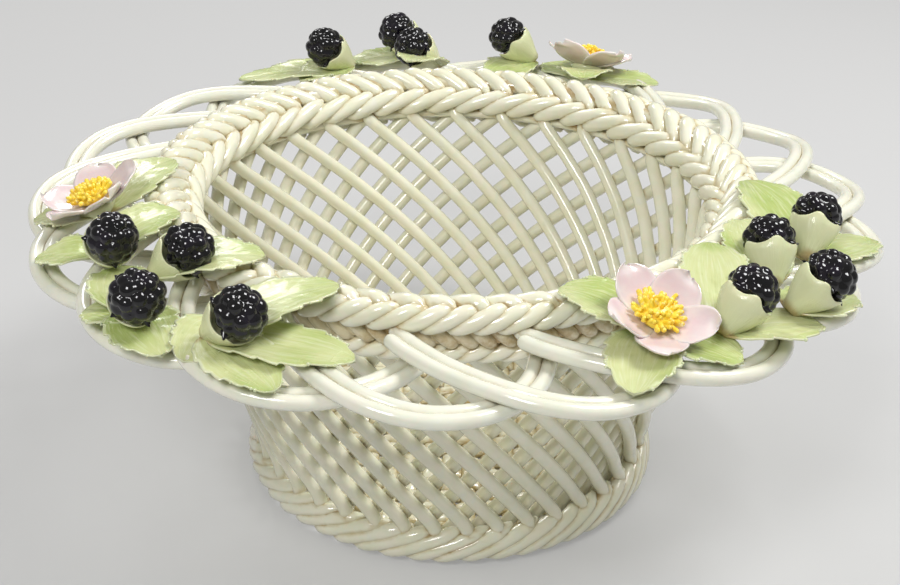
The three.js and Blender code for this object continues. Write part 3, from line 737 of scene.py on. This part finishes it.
def leaf_parts(stalk, tip, lift):
    u = np.linspace(0, 1, LEAF_ALONG)[:, None]
    v = np.linspace(-1, 1, LEAF_ACROSS)[None, :]
    off_rib = np.abs(v)
    stretch = max(1, LEAF_SHORTEST / np.linalg.norm(tip - stalk))
    stalk = tip - (tip - stalk) * [stretch, stretch, 1]
    middle = (stalk + tip) / 2
    middle[2] = max(stalk[2], tip[2]) + lift
    rib = (1 - u) ** 2 * stalk + 2 * u * (1 - u) * middle + u**2 * tip
    forward = unit((tip - stalk) * [1, 1, 0])
    across = np.array([-forward[1], forward[0], 0])
    width = min(LEAF_WIDTH, np.linalg.norm(tip - stalk) * LEAF_FULLNESS)
    body = np.sin(np.pi * u**0.85) ** 0.55
    body = np.maximum(body, 0.25 * (1 - u) * smoothstep(0, 0.03, u + 0.02))
    tooth = np.mod(u * TOOTH_COUNT - 0.35 * off_rib + chance.random(), 1) ** 1.6
    tooth = np.sin(np.pi * np.minimum(tooth * 1.25, 2 - tooth * 1.25) / 2)
    teeth = 1 + TOOTH_DEPTH * (tooth - 0.5) * smoothstep(0.1, 0.3, u) * off_rib**3
    # Two values are drawn and one is used, so that whatever is drawn later stays as it is.
    twist = chance.uniform(-0.3, 0.3, 2)[0]
    curl = chance.uniform(0.35, 1.15)
    cup_up = 0.075 * width * off_rib**1.6 * between(0.7, 1.2, 1 - u) * curl
    ripple = 0.3 * np.sin(u * 12 + chance.uniform(0, 6)) * off_rib**3 + twist * v * u
    ripple = ripple + 0.22 * np.sin(u * 7 + v * 2 + chance.uniform(0, 6)) * off_rib
    slanted = (u * VEIN_COUNT - off_rib * 1.5) % 1
    side_vein = np.exp(-(((slanted - 0.5) / 0.17) ** 2)) * smoothstep(0.05, 0.2, off_rib)
    rib_groove = np.exp(-((v / 0.08) ** 2))
    relief = -RIB_DEPTH * rib_groove * (1 - 0.6 * u) - VEIN_DEPTH * side_vein * (1 - off_rib**4)
    tooth_points = 0.4 * (tooth - 0.5) * off_rib**6 * smoothstep(0.12, 0.35, u)
    top = rib[:, None, :] + (width / 2 * body * v * teeth)[..., None] * across
    top = top + tooth_points[..., None] * forward
    top[..., 2] += (cup_up + ripple) * body + relief
    under = top.copy()
    under[..., 2] -= LEAF_THICK * between(1, 0.45, off_rib**3) * between(1, 0.75, u) + relief * 0.5
    even = np.ones((LEAF_ALONG, LEAF_ACROSS))
    marks = {
        "vein": np.maximum(rib_groove, side_vein * 0.7),
        "margin": smoothstep(0.8, 1.0, np.maximum(off_rib, smoothstep(0.9, 1.0, u))),
        "along": u * even,
        "across": v * even,
        "foot": (1 - smoothstep(0.02, 0.2, u)) * even,
        "seed": even * chance.random(),
        "cup": even * 0,
    }
    return [two_skins(top, under, marks)] + leaf_drops(top)


# %% [markdown]
# Each leaf tip rests on what is under it: the crest of the rim, or the loops, which fall a little towards
# the border's edge. A cup or a flower's foot and the leaves round it are one piece, as they are one colour
# and one touch of slip. Their corners are kept for later, when the tan of pooled glaze and painted shade
# is worked out.

# %% Set out the brambles
sprig_corners = []


def leaf_tip(out, degrees, drop):
    droop = np.clip((out - 0.5) / 0.5, 0, 1)
    on_rim = out < 0.25
    height = LEAF_ON_RIM if on_rim else between(LEAF_ON_LOOPS, LEAF_ON_TIPS, droop) - drop
    return polar(between(BORDER_INSIDE, BORDER_RADIUS, out), degrees, height), OVER_RIM if on_rim else 0.1


def make_sprig(node, base, stalk, leaves, drop):
    parts = list(base)
    for out, degrees in leaves:
        parts += leaf_parts(stalk, *leaf_tip(out, degrees, drop))
    sprig_corners.extend(part[0] for part in parts)
    make_piece(node, parts, "leaf_green")
    print(node, "settled by", round(float(drop), 2), "mm")


for side, spray in SPRAYS.items():
    for number, (in_share, round_degrees, swing, leaves) in enumerate(spray["brambles"], start=1):
        node = f"{side}_bramble_{number}"
        towards = round_degrees + 90 + swing
        place = polar(BORDER_RADIUS - in_share * BERRY_RADIUS, round_degrees, CUP_MOUTH_HEIGHT)
        centre = settled_centre(node, place, leaning(SOLID_TILT, towards), BERRY_HEIGHT)
        centre[2] += RAISED.get(node, 0)
        turn = leaning(BERRY_TILT, towards)
        make_piece(node, placed(bramble_parts(), turn, centre), "berry_black")
        stalk = centre + turn @ [0, 0, -CUP_DEPTH * 0.95]
        cup = placed([cup_part()], turn, centre)
        drop = CUP_MOUTH_HEIGHT - centre[2]
        make_sprig(f"{side}_cup_and_leaves_{number}", cup, stalk, leaves, drop)

# %% [markdown]
# A flower has five cupped petals of thin paste, each pressed over a fingertip and laid over its
# neighbour, round a boss of stamens made by pushing paste through a sieve. Short curling threads with
# round ends, stood up in a clump, look just like that. The three flowers differ in how far they are turned
# and how steeply their petals rise. The back one is a little larger, and its petals sit lower round its
# boss.

# %% Flowers
PETAL_ALONG = 22
PETAL_ACROSS = 18
PETAL_THICK = 0.8
PETAL_HALF_WIDTH = 5.9
# First petal's degrees, size, rise in mm, and how far the petals sit below their solid.
PETAL_LOOKS = {"left": (20, 1.0, 4.4, 0), "right": (54, 0.97, 4.4, 0), "back": (12, 1.09, 5.0, 1.2)}
THREAD_COUNT = 62
THREAD_RADIUS = 0.5
BOSS_RADIUS = 4.5
STAMEN_TOP = 3.6
FLOWER_STALK = -3.95
FOOT_OUTLINE = [(0.6, -4.3), (2.6, -4.2), (3.6, -3.2), (4.6, -1.9), (4.2, -1.1), (0.6, -1.1)]
FOOT_MARKS = {"vein": 0.5, "margin": 0, "along": 0.1, "across": 0.3, "foot": 0.3, "seed": 0.4, "cup": 0.5}


def petal_part(number, start, growth, lift):
    u = np.linspace(0.02, 0.995, PETAL_ALONG)[:, None]
    v = np.linspace(-1, 1, PETAL_ACROSS)[None, :]
    along = growth * FLOWER_RADIUS * chance.uniform(0.98, 1.04) * u
    half = growth * PETAL_HALF_WIDTH * np.sin(np.pi * u**1.25) ** 0.55
    curl = chance.uniform(0.6, 1.3)
    rise = lift * u**1.7 - 0.9 + curl * (1.5 * v**2 * u * (1 - 0.45 * u)) - 0.7 * smoothstep(0.8, 1, u)
    rise = rise + 0.5 * v * u + 0.2 * np.sin(3 * v + number) * u + 0.4 * chance.normal() * u**2
    aside = half * v * (1 - 0.1 * v**2)
    turn = np.radians(start + number * 72 + chance.normal(0, 3))
    x = along * np.cos(turn) - aside * np.sin(turn)
    y = along * np.sin(turn) + aside * np.cos(turn)
    top = np.stack([x, y, rise], axis=-1)
    under = top.copy()
    under[..., 2] -= PETAL_THICK * between(1, 0.55, u)
    marks = {"margin": smoothstep(0.72, 1, np.maximum(np.abs(v), u)), "along": u * np.ones_like(v)}
    return two_skins(top, under, marks)


def stamen_parts():
    parts = [ball(np.array([0, 0, 0.9]), 3.9, 8, 16, (1, 1, 0.45))]
    for i in range(THREAD_COUNT):
        share = math.sqrt((i + 0.5) / THREAD_COUNT)
        around = i * GOLDEN_TURN
        foot = np.array([math.cos(around), math.sin(around), 0]) * share * (BOSS_RADIUS - 0.7)
        foot[2] = between(1.9, 0.8, share**2)
        lean = foot * [0.4, 0.4, 0] + chance.normal(0, 0.4, 3) * [1, 1, 0.4]
        tall = between(1.6, 1.0, share) * chance.uniform(0.75, 1.1)
        knots = [foot, foot + [0, 0, tall * 0.5] + lean * 0.5, foot + [0, 0, tall] + lean]
        parts.append(tube(smooth_path(knots, 5), THREAD_RADIUS * chance.uniform(0.8, 1.15), 8))
    return parts


def foot_part():
    corners, faces = turned(FOOT_OUTLINE, 24)
    return corners, faces, even_marks(len(corners), FOOT_MARKS)


for side, spray in SPRAYS.items():
    in_share, round_degrees, leaves = spray["flower"]
    start, growth, lift, sunk = PETAL_LOOKS[side]
    place = polar(BORDER_RADIUS - in_share * FLOWER_RADIUS, round_degrees, FLOWER_HEIGHT)
    turn = leaning(FLOWER_TILT, round_degrees)
    middle = settled_centre(f"{side}_stamens", place, turn, STAMEN_TOP)
    centre = middle - [0, 0, sunk]
    petals = [petal_part(number, start, growth, lift) for number in range(5)]
    make_piece(f"{side}_flower", placed(petals, turn, centre), "petal_pink")
    make_piece(f"{side}_stamens", placed(stamen_parts(), turn, middle), "stamen_yellow")
    stalk = centre + turn @ [0, 0, FLOWER_STALK]
    foot = placed([foot_part()], turn, centre)
    make_sprig(f"{side}_flower_leaves", foot, stalk, leaves, FLOWER_HEIGHT - middle[2])

# %% [markdown]
# Between the row under the rim and the row above it is a narrow recess, where the potter dabbed slip to
# hold the tops of the rods. The dabs are short upright grains, close together and a little uneven, and
# glaze has run thick and amber between them. Their high least value paints them tan all over: pooled
# glaze, and the painted shade that fills the recess.

# %% Slip in the recess
RECESS_ROW = [(68.3, 73.4, 0), (69.0, 72.2, 0.3), (69.0, 70.6, 0.7), (68.3, 69.4, 1)]
plait("rim_under_row", RECESS_ROW, count=104, pitches=1.1, hand=1, thickness=1.5, least_pool=0.92)
print("the row under the rim now has", len(bundles["rim_under_row"]), "strands")

# %% [markdown]
# The pearly glaze is clear and thin on a strand's back, and it runs together and turns tan where strands
# meet. The same tan also paints the shade that falls in those creases. So every corner of every strand
# gets a number from 0 to 1 for pooled glaze and painted shade: the smaller the space to the nearest other
# strand, cup or leaf, the nearer to 1. A strand is compared only with the points near it, a few hundred
# corners at a time, which keeps the memory small. The number is kept with the mesh as an attribute that
# the glaze reads. Slip that lies deep in a groove has a least value of its own.

# %% How close the next strand lies
POOL_AND_SHADE_REACH = 1.35
POOL_AND_SHADE_TOUCH = -0.1
POOL_AND_SHADE_NEAR = 3.4
SPRIG_STEP = 3
CORNERS_AT_ONCE = 600


def measure_pools_and_shade():
    every = [strand for piece in bundles.values() for strand in piece]
    rods = [(i, strand) for i, strand in enumerate(every) if not strand.closed]
    centres = np.vstack([strand.points for i, strand in rods])
    radii = np.concatenate([strand.radii for i, strand in rods])
    owners = np.concatenate([np.full(len(strand.points), i) for i, strand in rods])
    sprigs = np.vstack(sprig_corners)[::SPRIG_STEP]
    centres = np.vstack([centres, sprigs])
    radii = np.concatenate([radii, np.zeros(len(sprigs))])
    owners = np.concatenate([owners, np.full(len(sprigs), -1)])
    for i, strand in enumerate(every):
        low = strand.corners.min(0) - POOL_AND_SHADE_NEAR
        high = strand.corners.max(0) + POOL_AND_SHADE_NEAR
        near = np.all((centres > low) & (centres < high), axis=1) & (owners != i)
        strand.pool = np.full(len(strand.corners), strand.least_pool)
        if not near.any():
            continue
        for start in range(0, len(strand.corners), CORNERS_AT_ONCE):
            some = slice(start, start + CORNERS_AT_ONCE)
            away = np.linalg.norm(strand.corners[some, None] - centres[near][None], axis=2)
            pool = 1 - smoothstep(POOL_AND_SHADE_TOUCH, POOL_AND_SHADE_REACH, (away - radii[near]).min(1))
            strand.pool[some] = np.maximum(pool, strand.least_pool)


measure_pools_and_shade()
print("pools measured on", sum(len(s.corners) for p in bundles.values() for s in p), "corners")

# %% [markdown]
# Now every bundle becomes one mesh. The inner layer of rods is one piece on the real basket, and its solids
# are two halves, so the one piece stands for both.

# %% Mesh the woven pieces
INNER_HALVES = ["inner_rods_back", "inner_rods_front"]
# The smooth foot ring is a little tan all over: pooled glaze and painted shade.
FOOT_RING_POOL_AND_SHADE = 0.25
for name, strands in bundles.items():
    parts = [(strand.corners, strand.faces, {"pool": strand.pool}) for strand in strands]
    if name == "woven_floor":
        corners, faces = turned(FOOT_RING)
        parts.append((corners, faces, even_marks(len(corners), {"pool": FOOT_RING_POOL_AND_SHADE})))
    slot = "pale_porcelain" if name.startswith("loop") else "cream_porcelain"
    make_piece(name, parts, slot, INNER_HALVES if name == "inner_rods" else None)
print("woven pieces:", len(pieces))

# %% [markdown]
# Shader maths reads best as plain sums. A Wire holds one output socket of a node tree, and adding or
# multiplying Wires adds Math nodes behind the scenes. Colours would turn grey in a Math node, so they are
# mixed by a Mix node instead. Every other node comes from one method, which takes its type, its settings
# and what goes into its sockets.

# %% Wires
class Wire:
    def __init__(self, finish, socket):
        self.finish = finish
        self.socket = socket

    def math(self, operation, *values):
        return self.finish.node("ShaderNodeMath", {"operation": operation}, dict(enumerate(values)))

    def __add__(self, other):
        return self.math("ADD", self, other)

    __radd__ = __add__

    def __mul__(self, other):
        return self.math("MULTIPLY", self, other)

    __rmul__ = __mul__

    def __sub__(self, other):
        return self.math("SUBTRACT", self, other)

    def __rsub__(self, other):
        return self.math("SUBTRACT", other, self)

    def clamped(self):
        return self.math("MINIMUM", self.math("MAXIMUM", self, 0.0), 1.0)

    def between(self, low, high):
        settings = {"interpolation_type": "SMOOTHSTEP"}
        inputs = {"Value": self, "From Min": low, "From Max": high}
        return self.finish.node("ShaderNodeMapRange", settings, inputs)


# %% Finishes
class Finish:
    def __init__(self, name, **uniform):
        self.material = bpy.data.materials.new(name)
        self.material.use_nodes = True
        self.tree = self.material.node_tree
        self.tree.nodes.clear()
        self.shader = self.tree.nodes.new("ShaderNodeBsdfPrincipled")
        self.output = self.tree.nodes.new("ShaderNodeOutputMaterial")
        self.tree.links.new(self.shader.outputs[0], self.output.inputs["Surface"])
        for socket, value in uniform.items():
            self.set(self.shader, socket.replace("_", " "), value)

    def set(self, node, socket, value):
        if isinstance(value, Wire):
            self.tree.links.new(value.socket, node.inputs[socket])
        else:
            node.inputs[socket].default_value = value

    def node(self, kind, settings=None, inputs=None, output=0):
        node = self.tree.nodes.new(kind)
        for name, value in (settings or {}).items():
            if name == "stops":
                ramp = node.color_ramp
                while len(ramp.elements) < len(value):
                    ramp.elements.new(1.0)
                for element, (place, colour) in zip(ramp.elements, value):
                    element.position = place
                    element.color = colour
            else:
                setattr(node, name, value)
        for socket, value in (inputs or {}).items():
            self.set(node, socket, value)
        return Wire(self, node.outputs[output])

    def mark(self, name):
        return self.node("ShaderNodeAttribute", {"attribute_name": name}, output="Fac")

    def place(self):
        return self.node("ShaderNodeTexCoord", output="Object")

    def noise(self, place, scale, detail=2.0, rough=0.5, twist=0.0):
        inputs = {"Vector": place, "Scale": scale, "Detail": detail}
        inputs.update({"Roughness": rough, "Distortion": twist})
        return self.node("ShaderNodeTexNoise", {"noise_dimensions": "3D"}, inputs, output="Fac")

    def mix(self, factor, first, second):
        settings = {"data_type": "RGBA"}
        return self.node("ShaderNodeMix", settings, {0: factor, 6: first, 7: second}, output=2)

    def bump(self, height, depth):
        inputs = {"Height": height, "Strength": 1.0, "Distance": depth * MM}
        return self.node("ShaderNodeBump", None, inputs, output="Normal")

    def feed(self, **wires):
        for socket, wire in wires.items():
            self.set(self.shader, socket.replace("_", " "), wire)


# %% [markdown]
# The basket's glaze is a pearly lustre over cream paste. On the backs of the rods it is nearly colourless,
# and its pearly sheen is painted into the colour as faint pink, green and blue clouds. In the hollows the
# glaze is thick and tan, and the same tan paints the shade that falls in those creases. The mark of pooled
# glaze and painted shade says where the hollows are, and two sizes of noise make the edge of each pool
# wander as a run of glaze does. Here and there a pool is deep amber. Low inside the bowl, tan is painted as
# shade where the glaze has also gathered. The clear coat on top gives the sharp lights, and a very low wave
# in the surface makes them tremble.

# %% Porcelain glazes
# Tints of the pearly glaze's sheen, painted into the colour.
PAINTED_SHEEN_TINTS = [
    (0.3, (0.84, 0.74, 0.66, 1)),
    (0.46, (0.83, 0.79, 0.62, 1)),
    (0.58, (0.70, 0.80, 0.60, 1)),
    (0.74, (0.70, 0.76, 0.78, 1)),
]
# The tans colour pooled glaze and also paint the shade in the creases where strands meet.
PASTE, PASTE_SHADE, POOL_AND_SHADE_TAN = (0.82, 0.80, 0.655, 1), (0.77, 0.755, 0.575, 1), (0.52, 0.40, 0.17, 1)
PALE_PASTE, PALE_SHADE, PALE_POOL_AND_SHADE_TAN = (0.80, 0.79, 0.69, 1), (0.75, 0.75, 0.64, 1), (0.50, 0.41, 0.24, 1)
DEEP_AMBER = (0.30, 0.16, 0.02, 1)
# Painted shade low inside the bowl, in tan, laid where glaze also pools.
BOWL_SHADE_AND_POOL_TAN = (0.42, 0.32, 0.14, 1)
CREAMY_DEPTH = {
    "Subsurface_Weight": 0.1,
    "Subsurface_Radius": (1.0, 0.8, 0.5),
    "Subsurface_Scale": 1.2 * MM,
}
BOWL_LOW, BOWL_HIGH = 8 * MM, 34 * MM
INNER_FACE, OUTER_FACE = 43.4 * MM, 44.4 * MM


def glaze(name, paste, shade, pool, pool_and_shade_share, painted_sheen_share):
    finish = Finish(name, IOR=1.5, Coat_Weight=0.5, Coat_Roughness=0.05, **CREAMY_DEPTH)
    place = finish.place()
    close = finish.mark("pool")
    cloud = finish.noise(place, 95, 3, 0.55)
    speck = finish.noise(place, 520, 3, 0.6)
    colour = finish.mix(finish.noise(place, 160, 2).between(0.35, 0.7), paste, shade)
    # Painted sheen: faint pink, green and blue clouds stand in for the pearly glaze's iridescent
    # reflections.
    haze = finish.noise(place, 230, 1, 0.5, 1.5)
    painted_sheen = finish.node("ShaderNodeValToRGB", {"stops": PAINTED_SHEEN_TINTS}, {"Fac": haze}, "Color")
    colour = finish.mix(painted_sheen_share, colour, painted_sheen)
    wander = (close + (cloud - 0.5) * 0.7 + (speck - 0.5) * 0.45).between(0.4, 1.2)
    # Tan where strands meet: partly pooled glaze, partly painted shade in the creases.
    colour = finish.mix(wander * pool_and_shade_share, colour, pool)
    patch = finish.noise(place, 75, 2, 0.5).between(0.43, 0.6)
    deep = (close + (speck - 0.5) * 0.5).between(0.78, 1.1)
    colour = finish.mix(deep * patch * pool_and_shade_share, colour, DEEP_AMBER)
    # Painted shade: on the inner face of the wall, low down, strands turn tan where they meet.
    height = finish.node("ShaderNodeSeparateXYZ", None, {0: place}, "Z")
    flat = finish.node("ShaderNodeVectorMath", {"operation": "MULTIPLY"}, {0: place, 1: (1, 1, 0)})
    reach = finish.node("ShaderNodeVectorMath", {"operation": "LENGTH"}, {0: flat}, "Value")
    inside = 1 - (reach - height * WALL_SLOPE).between(INNER_FACE, OUTER_FACE)
    low = inside * (1 - height.between(BOWL_LOW, BOWL_HIGH))
    colour = finish.mix(low * close * cloud.between(0.35, 0.6) * 0.6, colour, BOWL_SHADE_AND_POOL_TAN)
    ripple = cloud + finish.noise(place, 300, 2) * 0.4
    finish.feed(Base_Color=colour, Roughness=0.13 + (cloud * 0.1), Normal=finish.bump(ripple, 0.12))
    return finish.material


materials = {
    "cream_porcelain": glaze("cream_glaze", PASTE, PASTE_SHADE, POOL_AND_SHADE_TAN, 0.72, 0.18),
    "pale_porcelain": glaze("pale_glaze", PALE_PASTE, PALE_SHADE, PALE_POOL_AND_SHADE_TAN, 0.5, 0.18),
}

# %% [markdown]
# The leaves are brushed with thin green over the cream, so the brush strokes run along the leaf and show
# darker near the rib and at the stalk, while the raised teeth at the edge stay nearly white.

# %% Painted leaves
LEAF_DEEP, LEAF_FRESH = (0.41, 0.50, 0.16, 1), (0.57, 0.61, 0.30, 1)
LEAF_STREAK, LEAF_CUP = (0.67, 0.70, 0.45, 1), (0.72, 0.73, 0.48, 1)
LEAF_DARK, LEAF_EDGE, LEAF_AMBER = (0.22, 0.27, 0.05, 1), (0.75, 0.77, 0.58, 1), (0.36, 0.20, 0.05, 1)


def leaf_glaze():
    depth = {"Subsurface_Weight": 0.05, "Subsurface_Scale": 1.0 * MM}
    finish = Finish("leaf_glaze", IOR=1.45, Coat_Weight=0.3, Coat_Roughness=0.06, **depth)
    place = finish.place()
    vein, margin, foot = finish.mark("vein"), finish.mark("margin"), finish.mark("foot")
    along, across, seed = finish.mark("along"), finish.mark("across"), finish.mark("seed")
    cloud = finish.noise(place, 130, 3, 0.6)
    on_leaf = finish.node("ShaderNodeCombineXYZ", None, {0: along * 1.8, 1: across * 7.0, 2: seed * 30.0})
    stroke = finish.noise(on_leaf, 1.6, 4, 0.65)
    broad = finish.noise(place, 55, 2, 0.5)
    colour = finish.mix(broad.between(0.36, 0.6), LEAF_DEEP, LEAF_FRESH)
    colour = finish.mix(stroke.between(0.45, 0.68) * 0.55, colour, LEAF_STREAK)
    colour = finish.mix(finish.mark("cup") * 0.75, colour, LEAF_CUP)
    dark = (vein * 0.35 + (1 - along) * 0.4 + (cloud - 0.5) * 1.1 - (stroke - 0.5) * 1.4).between(0.4, 1.1)
    colour = finish.mix(dark * 0.75, colour, LEAF_DARK)
    pale = (margin + (stroke - 0.5) * 0.6).between(0.45, 1.0)
    colour = finish.mix(pale * 0.55, colour, LEAF_EDGE)
    amber = (foot + (cloud - 0.5) * 1.2).between(0.55, 1.1)
    colour = finish.mix(amber * 0.75, colour, LEAF_AMBER)
    height = stroke * 0.5 + cloud
    finish.feed(Base_Color=colour, Roughness=0.2 + cloud * 0.12, Normal=finish.bump(height, 0.22))
    return finish.material


materials["leaf_green"] = leaf_glaze()

# %% [markdown]
# The brambles' black is so deep and wet that its colour hardly matters: it is nearly all reflection. The
# petals are a breath of lilac that fades at their edges, and the stamens go from lemon to orange between
# the threads.

# %% Painted brambles, petals and stamens
BLACK, VIOLET_BLACK = (0.003, 0.003, 0.004, 1), (0.010, 0.007, 0.016, 1)
LILAC, PALE_LILAC = (0.71, 0.56, 0.58, 1), (0.76, 0.66, 0.65, 1)
PETAL_HEART, PETAL_EDGE = (0.72, 0.66, 0.45, 1), (0.82, 0.77, 0.72, 1)
YELLOW, ORANGE, LEMON = (0.93, 0.76, 0.08, 1), (0.90, 0.58, 0.03, 1), (0.95, 0.88, 0.48, 1)


def bramble_glaze():
    finish = Finish("bramble_glaze", IOR=1.43, Coat_Weight=0.3, Coat_Roughness=0.02)
    place = finish.place()
    cloud = finish.noise(place, 260, 2)
    colour = finish.mix(cloud.between(0.45, 0.8), BLACK, VIOLET_BLACK)
    finish.feed(Base_Color=colour, Roughness=0.06 + cloud * 0.06, Normal=finish.bump(cloud, 0.1))
    return finish.material


def petal_glaze():
    depth = {"Subsurface_Weight": 0.1, "Subsurface_Scale": 1.0 * MM}
    finish = Finish("petal_glaze", IOR=1.5, Coat_Weight=0.6, Coat_Roughness=0.05, **depth)
    place = finish.place()
    cloud = finish.noise(place, 170, 3, 0.6)
    colour = finish.mix(cloud.between(0.3, 0.75), LILAC, PALE_LILAC)
    colour = finish.mix((1 - finish.mark("along")).between(0.45, 1.0) * 0.5, colour, PETAL_HEART)
    colour = finish.mix(finish.mark("margin") * 0.6, colour, PETAL_EDGE)
    finish.feed(Base_Color=colour, Roughness=0.16 + cloud * 0.1, Normal=finish.bump(cloud, 0.12))
    return finish.material


def stamen_glaze():
    finish = Finish("stamen_glaze", IOR=1.5, Coat_Weight=0.3, Coat_Roughness=0.1)
    place = finish.place()
    patch = finish.noise(place, 420, 3, 0.6)
    colour = finish.mix(patch.between(0.35, 0.7), YELLOW, ORANGE)
    colour = finish.mix(finish.noise(place, 900, 2).between(0.55, 0.8), colour, LEMON)
    finish.feed(Base_Color=colour, Roughness=0.28 + patch * 0.2, Normal=finish.bump(patch, 0.15))
    return finish.material


materials["berry_black"] = bramble_glaze()
materials["petal_pink"] = petal_glaze()
materials["stamen_yellow"] = stamen_glaze()

for piece, slot in pieces.values():
    piece.data.materials.append(materials[slot])
print("finishes:", sorted(materials))

# %% [markdown]
# A pale floor that runs out of sight, a soft lamp high on the right, another in front on the left, a weak
# one behind and a weak pale sky are all that a porcelain portrait needs. The lamps are small enough to leave
# crisp lights on the glaze, and weak enough that the cream paste never burns out to plain white. The floor
# mixes in a faint even glow that only the rays that look at it meet, straight or mirrored in the glaze, so
# it looks the same all over. The basket's shadow still falls on it.

# %% Floor, lamps and sky
FLOOR_HALF = 4.0
FLOOR_PAPER, FLOOR_GLOW = (0.6, 0.6, 0.6, 1), (0.62, 0.62, 0.62, 1)
GLOW_SHARE = 0.4
SEEN_BY = ("Is Camera Ray", "Is Glossy Ray", "Is Transmission Ray")
LAMP_AIM = Vector((0, 0, 0.05))
SKY_COLOUR = (0.92, 0.9, 0.85, 1)
SKY_STRENGTH = 0.34


def lamp(name, place, size, power):
    light = bpy.data.lights.new(name, "AREA")
    light.shape = "RECTANGLE"
    light.size, light.size_y = size, size
    light.energy = power
    holder = in_scene(name, light)
    holder.location = place
    holder.rotation_euler = (LAMP_AIM - Vector(place)).to_track_quat("-Z", "Y").to_euler()


floor_mesh = bpy.data.meshes.new("floor")
floor_corners = [(x * FLOOR_HALF, y * FLOOR_HALF, 0) for x, y in ((-1, -1), (1, -1), (1, 1), (-1, 1))]
floor_mesh.from_pydata(floor_corners, [], [(0, 1, 2, 3)])
floor = in_scene("floor", floor_mesh)
floor_finish = Finish("floor_paper", Roughness=0.9)
floor_finish.feed(Base_Color=FLOOR_PAPER)
seen = [floor_finish.node("ShaderNodeLightPath", output=name) for name in SEEN_BY]
glow = floor_finish.node("ShaderNodeEmission", None, {"Color": FLOOR_GLOW, "Strength": 1.0})
lit = Wire(floor_finish, floor_finish.shader.outputs[0])
share = (seen[0] + seen[1] + seen[2]).clamped() * GLOW_SHARE
evened = floor_finish.node("ShaderNodeMixShader", None, {0: share, 1: lit, 2: glow})
floor_finish.set(floor_finish.output, "Surface", evened)
floor_mesh.materials.append(floor_finish.material)

lamp("key", (0.42, 0.1, 0.7), 0.3, 4.8)
lamp("fill", (-0.28, -0.6, 0.72), 0.27, 4.2)
lamp("back_light", (-0.25, 0.6, 0.55), 0.2, 1.3)

sky = bpy.data.worlds.new("sky")
bpy.context.scene.world = sky
sky.use_nodes = True
sky_light = sky.node_tree.nodes["Background"]
sky_light.inputs["Color"].default_value = SKY_COLOUR
sky_light.inputs["Strength"].default_value = SKY_STRENGTH
print("lamps:", [light.name for light in bpy.data.lights])

# %% [markdown]
# The camera stands where the photographer's did. Its distance and tilt were worked out from the circles of
# the rim, the foot and the border, which a camera sees as ellipses.

# %% Camera
CAMERA_PLACE = (0.0, -0.3182, 0.2124)
CAMERA_PITCH = 27.75
CAMERA_YAW = -0.1
CAMERA_ROLL = -1.06
CAMERA_LENS = 58.0
SENSOR_WIDTH = 36.0

pitch, yaw, roll = (math.radians(value) for value in (CAMERA_PITCH, CAMERA_YAW, CAMERA_ROLL))
look = Vector((math.sin(yaw) * math.cos(pitch), math.cos(yaw) * math.cos(pitch), -math.sin(pitch)))
level = Vector((math.cos(yaw), -math.sin(yaw), 0))
upright = level.cross(look)
right = math.cos(roll) * level - math.sin(roll) * upright
up = math.sin(roll) * level + math.cos(roll) * upright
turn = Matrix((right, up, -look)).transposed().to_4x4()
lens = bpy.data.cameras.new("portrait")
lens.lens = CAMERA_LENS
lens.sensor_width = SENSOR_WIDTH
lens.sensor_fit = "HORIZONTAL"
lens.clip_start = 0.01
lens.clip_end = 20
camera = in_scene("portrait", lens)
camera.matrix_world = Matrix.Translation(CAMERA_PLACE) @ turn
bpy.context.scene.camera = camera
bpy.context.scene.view_settings.view_transform = "Standard"
print("the camera stands at", CAMERA_PLACE, "and looks down by", CAMERA_PITCH, "degrees")

# %% The number of pieces, and the end
print("dressed pieces:", len(pieces))
